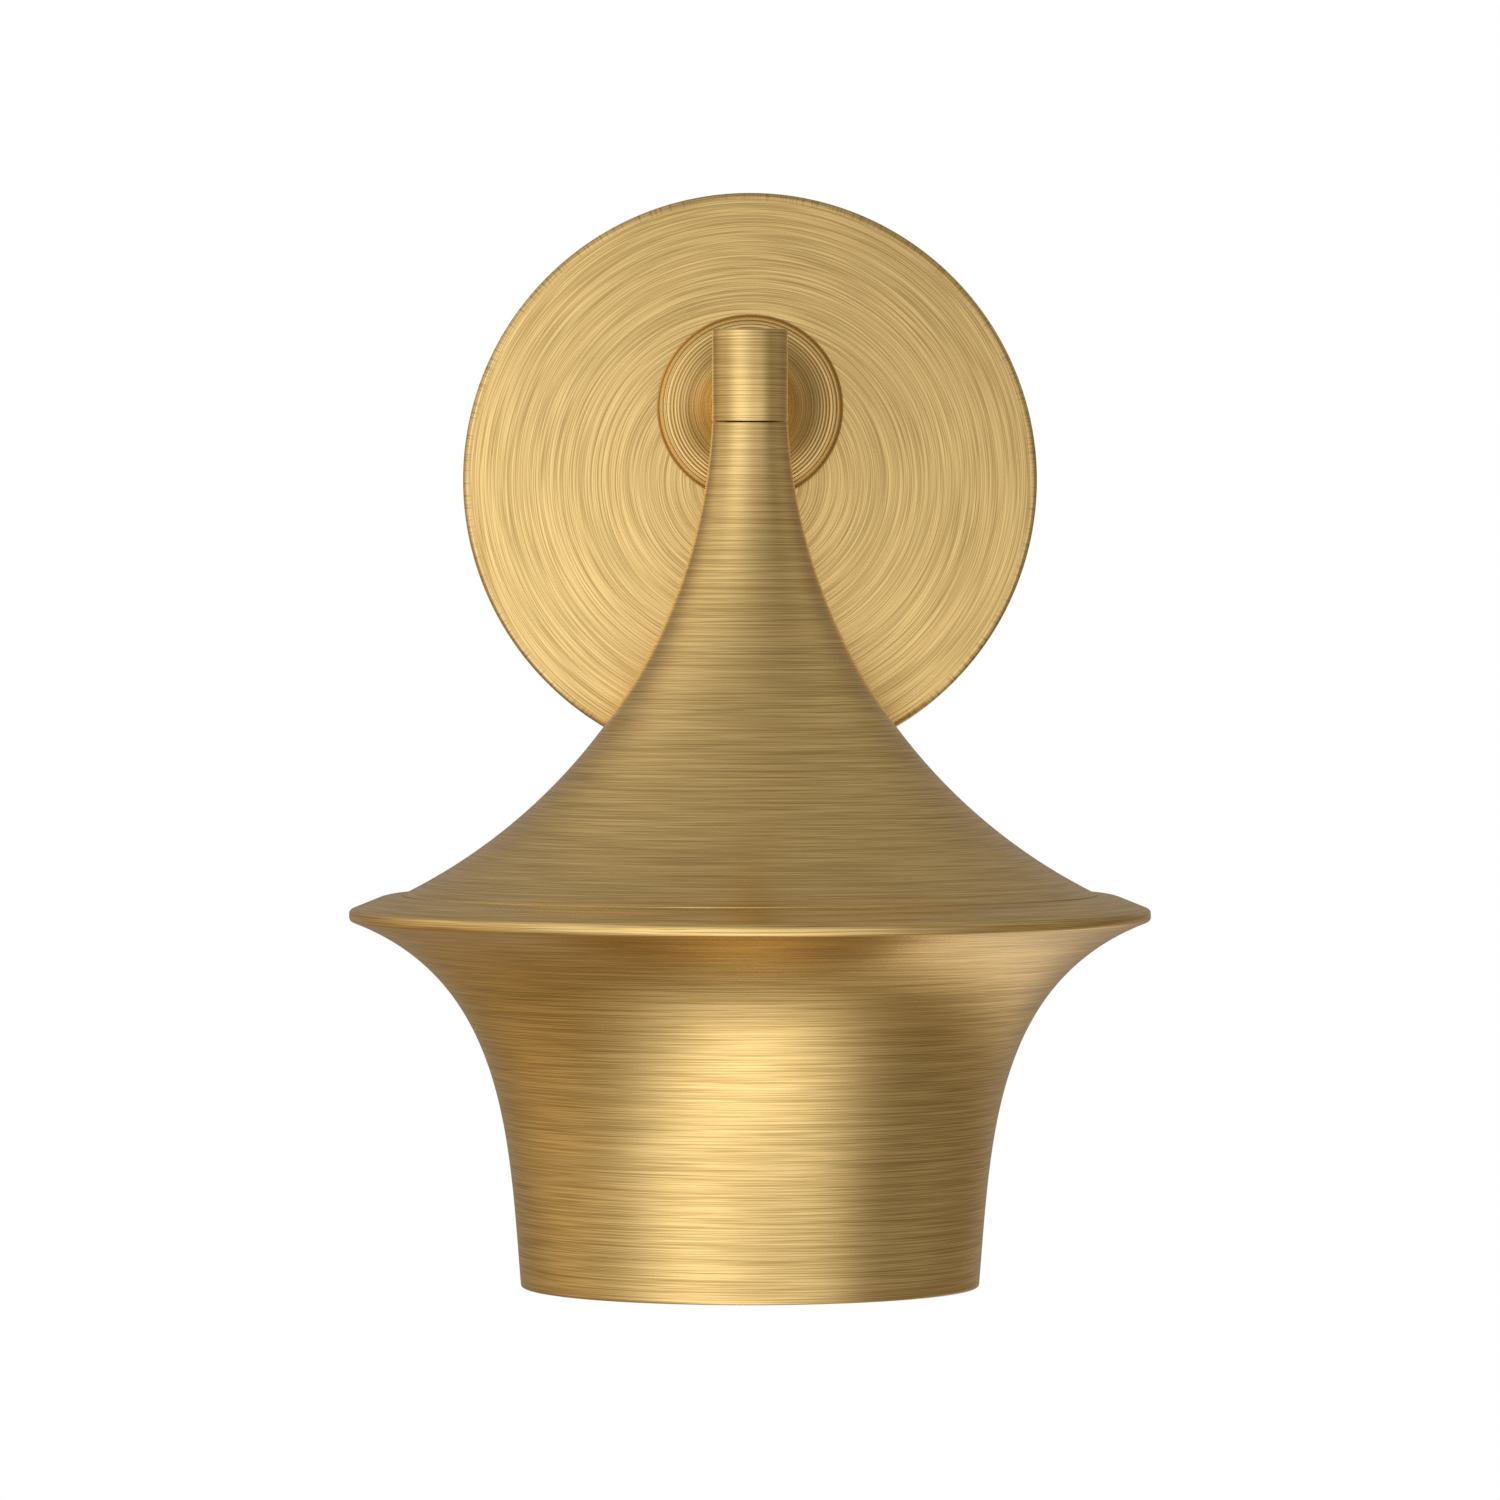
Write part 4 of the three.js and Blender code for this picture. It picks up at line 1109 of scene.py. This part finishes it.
body_low, body_high = heights("holder_body")
body_top = cap_low - gap
well_radius = 0.0144
floor_top = body_top - 0.011
floor_low = floor_top - 0.006
neck_outer = holder_radius - cap_wall - gap
chamber_radius = neck_outer - 0.0024
terminal_offset = 0.008
terminal_shank = 0.0016
porcelain = stuff(
    "glazed_porcelain", (0.86, 0.84, 0.78), (0.8, 0.78, 0.72), 0.22, 0.0, 0.000006, 0.3, 0.6, 0.1
)
holder = turned(
    "lampholder_body",
    outline(
        (0, floor_top),
        (chamber_radius, floor_top), 0.001,
        (chamber_radius, body_high), 0.0006,
        (neck_outer, body_high), 0.0006,
        (neck_outer, body_top), 0.0004,
        (holder_radius, body_top), 0.0008,
        (holder_radius, body_low), 0.0012,
        (well_radius, body_low), 0.0008,
        (well_radius, floor_low), 0.0004,
        (0, floor_low),
    ),
    shade_foot,
    around=128,
)
shank_low, shank_high = floor_low - 0.001, floor_top + 0.001
shank_holes = [
    rod("shank_hole", terminal_shank + gap, shank_low, shank_high, (x, shade_y, seam), "up", 32)
    for x in (-terminal_offset, terminal_offset)
]
cut(holder, *shank_holes)
settle(holder, "fixture", "holder_body", porcelain)

shell_low, shell_high = heights("screw_shell")
shell_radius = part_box("screw_shell")[1].x
shell_wall = 0.0005
shell_inside = shell_radius - shell_wall
cap_pitch = 0.00363
nickel = stuff("nickel_plate", (0.66, 0.62, 0.55), (0.5, 0.47, 0.41), 0.28, 1.0, 0.000005, 0.6)


def rolled(radius, low, high, depth, wall):
    """A shape for turned: a soft rolled thread on both faces of a sheet near that radius. It sinks by
    half of depth times one less the cosine of the height in turns of cap_pitch less the angle, and
    dies out over one pitch at each end."""

    def wave(r, h, a):
        swell = (1 - np.cos(2 * pi * h / cap_pitch - a)) / 2
        run_out = np.clip(np.minimum(h - low, high - h) / cap_pitch, 0, 1)
        return r - depth * swell * run_out * (np.abs(r - radius) < wall)

    return wave


shell = turned(
    "threaded_shell",
    outline(
        (0.0052, shell_high),
        (shell_radius, shell_high), 0.0005,
        line((shell_radius, shell_high - 0.001), (shell_radius, shell_low), 72),
        line((shell_inside, shell_low), (shell_inside, shell_high - 0.001), 72),
        (shell_inside, shell_high - shell_wall),
        (0.0052, shell_high - shell_wall),
    ),
    shade_foot,
    "up",
    96,
    rolled(shell_radius, shell_low, shell_high - 0.001, 0.0003, 0.0007),
)
settle(shell, "fixture", "screw_shell", nickel)

contact_sheet = 0.0005
contact_half = 0.002
contact_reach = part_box("centre_contact")[1].x
contact_fall = 0.0028
bronze = stuff("spring_bronze", (0.72, 0.42, 0.2), (0.55, 0.3, 0.13), 0.35, 1.0, 0.000005, 1.0)
contact = prism(
    "spring_contact",
    outline(
        (-contact_reach, shell_high),
        (-contact_reach / 2, shell_high), 0.001,
        (contact_reach / 4, shell_high + contact_sheet - contact_fall), 0.001,
        (contact_reach, shell_high + contact_sheet - contact_fall),
        (contact_reach, shell_high - contact_fall),
        (contact_reach / 4 - contact_sheet / 2, shell_high - contact_fall), 0.001,
        (-contact_reach / 2 - contact_sheet / 2, shell_high - contact_sheet), 0.001,
        (-contact_reach, shell_high - contact_sheet),
    ),
    -contact_half,
    contact_half,
    shade_foot,
    "front",
)
cut(contact, bevel=0.0001)
settle(contact, "fixture", "centre_contact", bronze)

head_radius = 0.0028
head_low = floor_top + gap
head_high = head_low + 0.002
for name, x, slot_name, metal in (
    ("live", 1, "raw_brass", brass_cut),
    ("neutral", -1, "nickel", nickel),
):
    foot = (x * terminal_offset, shade_y, seam)
    screw = turned(
        name + "_binding_screw",
        outline(
            (0, floor_low),
            line((terminal_shank, floor_low), (terminal_shank, head_low), 60),
            (head_radius, head_low), 0.0003,
            (head_radius, head_high), 0.0008,
            (0, head_high),
        ),
        foot,
        "up",
        48,
        thread(terminal_shank, floor_low, head_low, 0.0008, 0.0003),
    )
    narrow = np.array(driver_slot) * (1, 0.6)
    cut(screw, prism("driver_slot", narrow, head_high - 0.001, head_high + 0.001, foot, "up"))
    settle(screw, "fixture", name + "_terminal_screw", metal)

# ------------------------------------------------------------------ bulb
# An opal glass bulb with a 60 mm globe, in a nickel screw cap. Black glass parts the cap from the
# end contact.

contact_low, contact_high = heights("bulb_contact")
bulb_top = contact_high
bulb_foot = (0, shade_y, seam + bulb_top)
globe_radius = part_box("bulb_globe")[1].x
bulb_length = bulb_top - heights("bulb_globe")[0]
glass = 0.0008
cap_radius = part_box("bulb_cap")[1].x
cap_sheet = 0.0006
cap_start = -0.0069
cap_end = -0.027
cap_shoulder_drop = 0.0024
insulator_foot = cap_radius - 0.0024


def globe_face(depth, steps):
    """The glass set in by depth: a cubic neck tangent to the globe 24 degrees above its middle, and
    the globe's arc down to the axis."""
    meet = 24
    ball = arc((0, globe_radius - bulb_length), globe_radius - depth, meet, -90, steps)
    start = np.array([cap_radius + gap - depth, cap_end - gap])
    pull = globe_radius / 2
    ball_pull = ball[0] + pull * np.array([-sin(radians(meet)), cos(radians(meet))])
    return np.vstack([cubic(start, start - (0, pull), ball_pull, ball[0], steps), ball[1:]])


opal = stuff("opal_glass", (0.92, 0.91, 0.87), (0.89, 0.88, 0.83), 0.2, 0.0, 0.000004, 0.4, 0.4, 0.05)
globe_outside, globe_inside = globe_face(0, 48), globe_face(glass, 40)[::-1]
globe_outside[-1, 0] = globe_inside[0, 0] = 0
globe = turned("bulb_glass", np.vstack([globe_outside, globe_inside]), bulb_foot, around=160)
settle(globe, "bulb", "bulb_globe", opal)

cap_inside = cap_radius - cap_sheet
cap_wall_top = cap_start - cap_shoulder_drop
bulb_cap = turned(
    "bulb_screw_cap",
    outline(
        (insulator_foot + gap, cap_start),
        (cap_radius, cap_wall_top), 0.0006,
        line((cap_radius, cap_wall_top - 0.0008), (cap_radius, cap_end), 60),
        line((cap_inside, cap_end), (cap_inside, cap_wall_top - 0.0008), 60),
        (cap_inside, cap_wall_top - cap_sheet / 2),
        (insulator_foot + gap, cap_start - cap_sheet),
    ),
    bulb_foot,
    "up",
    96,
    rolled(cap_radius, cap_end, cap_start - 0.003, 0.0006, 0.0008),
)
settle(bulb_cap, "bulb", "bulb_cap", nickel)

black = stuff(
    "black_glass", (0.02, 0.02, 0.022), (0.012, 0.012, 0.014), 0.2, 0.0, 0.000004, 1.0, 0.3, 0.2
)
insulator = turned(
    "bulb_black_glass",
    outline(
        (0, contact_low - bulb_top - gap),
        (0.006, contact_low - bulb_top - gap), 0.0004,
        (insulator_foot, cap_start), 0.0003,
        (insulator_foot, cap_start - cap_sheet),
        (0, cap_start - cap_sheet),
    ),
    bulb_foot,
    around=96,
)
settle(insulator, "bulb", "bulb_insulator", black)

tip_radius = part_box("bulb_contact")[1].x
tip_low = contact_low - bulb_top
tip = turned(
    "bulb_end_contact",
    outline(
        (0, tip_low),
        (tip_radius, tip_low),
        (tip_radius, tip_low / 2),
        (tip_radius + tip_low / 2, 0), 0.0005,
        (0, 0),
    ),
    bulb_foot,
    around=64,
)
settle(tip, "bulb", "bulb_contact", nickel)

# ------------------------------------------------------------------ leads
# Stranded wire in plastic, black for live, white for neutral and green for earth. It goes from the
# lampholder up the threaded tube and through the arm, and hangs to the connectors.

lead_radius = 0.001
lead_spacing = 0.0027
connector_pitch = 0.016
connector_start, connector_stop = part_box("live_connector")
connector_low, connector_top = connector_start.z, connector_stop.z
connector_mouth = (connector_stop.x - connector_start.x) / 2
connector_y = (connector_start.y + connector_stop.y) / 2
lead_end = connector_top - 0.0074


def strand(name, points, radius, per=8, around=20):
    """A wire: centripetal Catmull-Rom through the points, in knots spaced by the square root of the
    distance, with rings square to the line that are carried along without twist."""
    p = np.array(points, float)
    p = np.vstack([2 * p[0] - p[1], p, 2 * p[-1] - p[-2]])
    line_points = []
    for i in range(1, len(p) - 2):
        q = p[i - 1 : i + 3]
        k = np.concatenate([[0], np.cumsum(np.sqrt(np.linalg.norm(np.diff(q, axis=0), axis=1)))])
        t = np.linspace(k[1], k[2], per, endpoint=False)[:, None]
        one = [((k[j + 1] - t) * q[j] + (t - k[j]) * q[j + 1]) / (k[j + 1] - k[j]) for j in range(3)]
        two = [
            ((k[j + 2] - t) * one[j] + (t - k[j]) * one[j + 1]) / (k[j + 2] - k[j]) for j in range(2)
        ]
        line_points.append(((k[2] - t) * two[0] + (t - k[1]) * two[1]) / (k[2] - k[1]))
    path = np.vstack([*line_points, p[-2]])
    ways = np.gradient(path, axis=0)
    ways /= np.linalg.norm(ways, axis=1, keepdims=True)
    side = np.cross(ways[0], (0.3, 1, 0.2))
    sides = []
    for way in ways:
        side = side - way * (side @ way)
        side /= np.linalg.norm(side)
        sides.append(side)
    sides = np.array(sides)
    others = np.cross(ways, sides)
    a = np.arange(around) * (2 * pi / around)
    ring_points = path[:, None] + radius * (
        np.cos(a)[None, :, None] * sides[:, None] + np.sin(a)[None, :, None] * others[:, None]
    )
    n = len(path)
    index = np.arange(n * around).reshape(n, around)
    after = np.roll(index, -1, axis=1)
    walls = np.stack([index[:-1], after[:-1], after[1:], index[1:]], axis=-1).reshape(-1, 4)
    return solid(name, ring_points.reshape(-1, 3), [walls, index[:1, ::-1], index[-1:]])


def supply_lead(side):
    """The points of the live lead, side 1, or the neutral one, side -1."""
    x = side * lead_spacing / 2
    mouth = side * connector_pitch
    beside = head_radius + gap + lead_radius
    bend = 0.004
    corridor = -(strap_sheet + arm_start) / 2
    down = arm_height - connector_top
    return [
        (side * (terminal_offset - 0.001), shade_y - beside, seam + floor_top + gap + lead_radius),
        (side * (terminal_offset - 0.001), shade_y - beside, seam + floor_top + 0.0055),
        (side * terminal_offset * 0.7, shade_y - beside * 0.7, seam + body_high - 0.001),
        (x * 1.4, shade_y - 0.001, seam + (cap_shoulder + cap_top) / 2),
        (x, shade_y, seam + stem_low),
        (x, shade_y, seam + (stem_low - gap) / 2),
        (x, shade_y, seam + 0.001),
        (x, shade_y + bend * 0.3, arm_height - bend * 0.3),
        (x, shade_y + bend, arm_height),
        (x, shade_y + hub_radius + bend, arm_height),
        (x, (shade_y - arm_start) / 2, arm_height),
        (x, -arm_start - 2 * lead_radius, arm_height),
        (x * 1.2, -arm_start + lead_radius, arm_height - gap),
        (x * 1.6, corridor, arm_height - 0.12 * down),
        (mouth * 0.35, corridor, arm_height - 0.32 * down),
        (mouth * 0.75, corridor, arm_height - 0.56 * down),
        (mouth, connector_y, connector_top + connector_mouth),
        (mouth, connector_y, connector_top - gap),
        (mouth, connector_y, lead_end),
    ]


black_plastic = stuff("black_insulation", (0.03, 0.03, 0.032), (0.018, 0.018, 0.02), 0.45, scratch=0.3)
white_plastic = stuff("white_insulation", (0.8, 0.79, 0.75), (0.72, 0.71, 0.67), 0.5, scratch=0.3)
green_plastic = stuff("green_insulation", (0.05, 0.3, 0.1), (0.035, 0.23, 0.075), 0.5, scratch=0.3)
live = strand("live_wire", supply_lead(1), lead_radius)
settle(live, "fixture", "live_lead", black_plastic)
neutral = strand("neutral_wire", supply_lead(-1), lead_radius)
settle(neutral, "fixture", "neutral_lead", white_plastic)
tag_face = -(tag_back - 2 * gap - lead_radius)
earth = strand(
    "earth_wire",
    [
        (0, tag_face, tag_low.z + 0.006),
        (0, tag_face, tag_low.z),
        (0, (tag_face + connector_y) / 2, (tag_low.z + connector_top) / 2),
        (0, connector_y, connector_top),
        (0, connector_y, lead_end),
    ],
    lead_radius,
)
settle(earth, "fixture", "earth_lead", green_plastic)

# ------------------------------------------------------------------ wire connectors
# Ribbed plastic caps, moulded with a tapered bore, that are twisted on to the bared wire ends:
# orange for live and neutral, green for earth.

tip_narrow = 0.0042
connector_bore = 0.0026
bore_depth = 0.008
rib_count = 16
rib_depth = 0.00035
connector_lip = (connector_mouth - 0.0002, connector_top - 0.0008)
orange = stuff("orange_plastic", (0.75, 0.2, 0.03), (0.62, 0.15, 0.02), 0.4, bump=0.00002, scratch=0.3)
leaf = stuff("green_plastic", (0.04, 0.33, 0.12), (0.03, 0.25, 0.09), 0.4, bump=0.00002, scratch=0.3)


def ribs(r, h, a):
    """Ribs on the outside, between the tip and the mouth's band: rib_depth times the square of half
    of one less the cosine of rib_count times the angle."""
    outside = np.clip((r - 0.0035) / 0.0005, 0, 1)
    run = np.clip(np.minimum(h - connector_low - 0.0015, connector_top - 0.005 - h) / 0.0015, 0, 1)
    return r - rib_depth * outside * run * (0.5 - 0.5 * np.cos(rib_count * a)) ** 2


for name, x, slot_name, plastic in (
    ("live", connector_pitch, "orange_plastic", orange),
    ("neutral", -connector_pitch, "orange_plastic", orange),
    ("earth", 0, "green_plastic", leaf),
):
    connector = turned(
        name + "_wire_nut",
        outline(
            (0, connector_low),
            (tip_narrow - 0.001, connector_low), 0.0005,
            line((tip_narrow, connector_low + 0.001), connector_lip, 30),
            (connector_mouth - 0.0006, connector_top),
            (connector_bore, connector_top), 0.0003,
            (connector_bore, connector_top - bore_depth),
            (0, connector_top - bore_depth),
        ),
        (x, connector_y, 0),
        "up",
        128,
        ribs,
    )
    settle(connector, "fixture", name + "_connector", plastic)
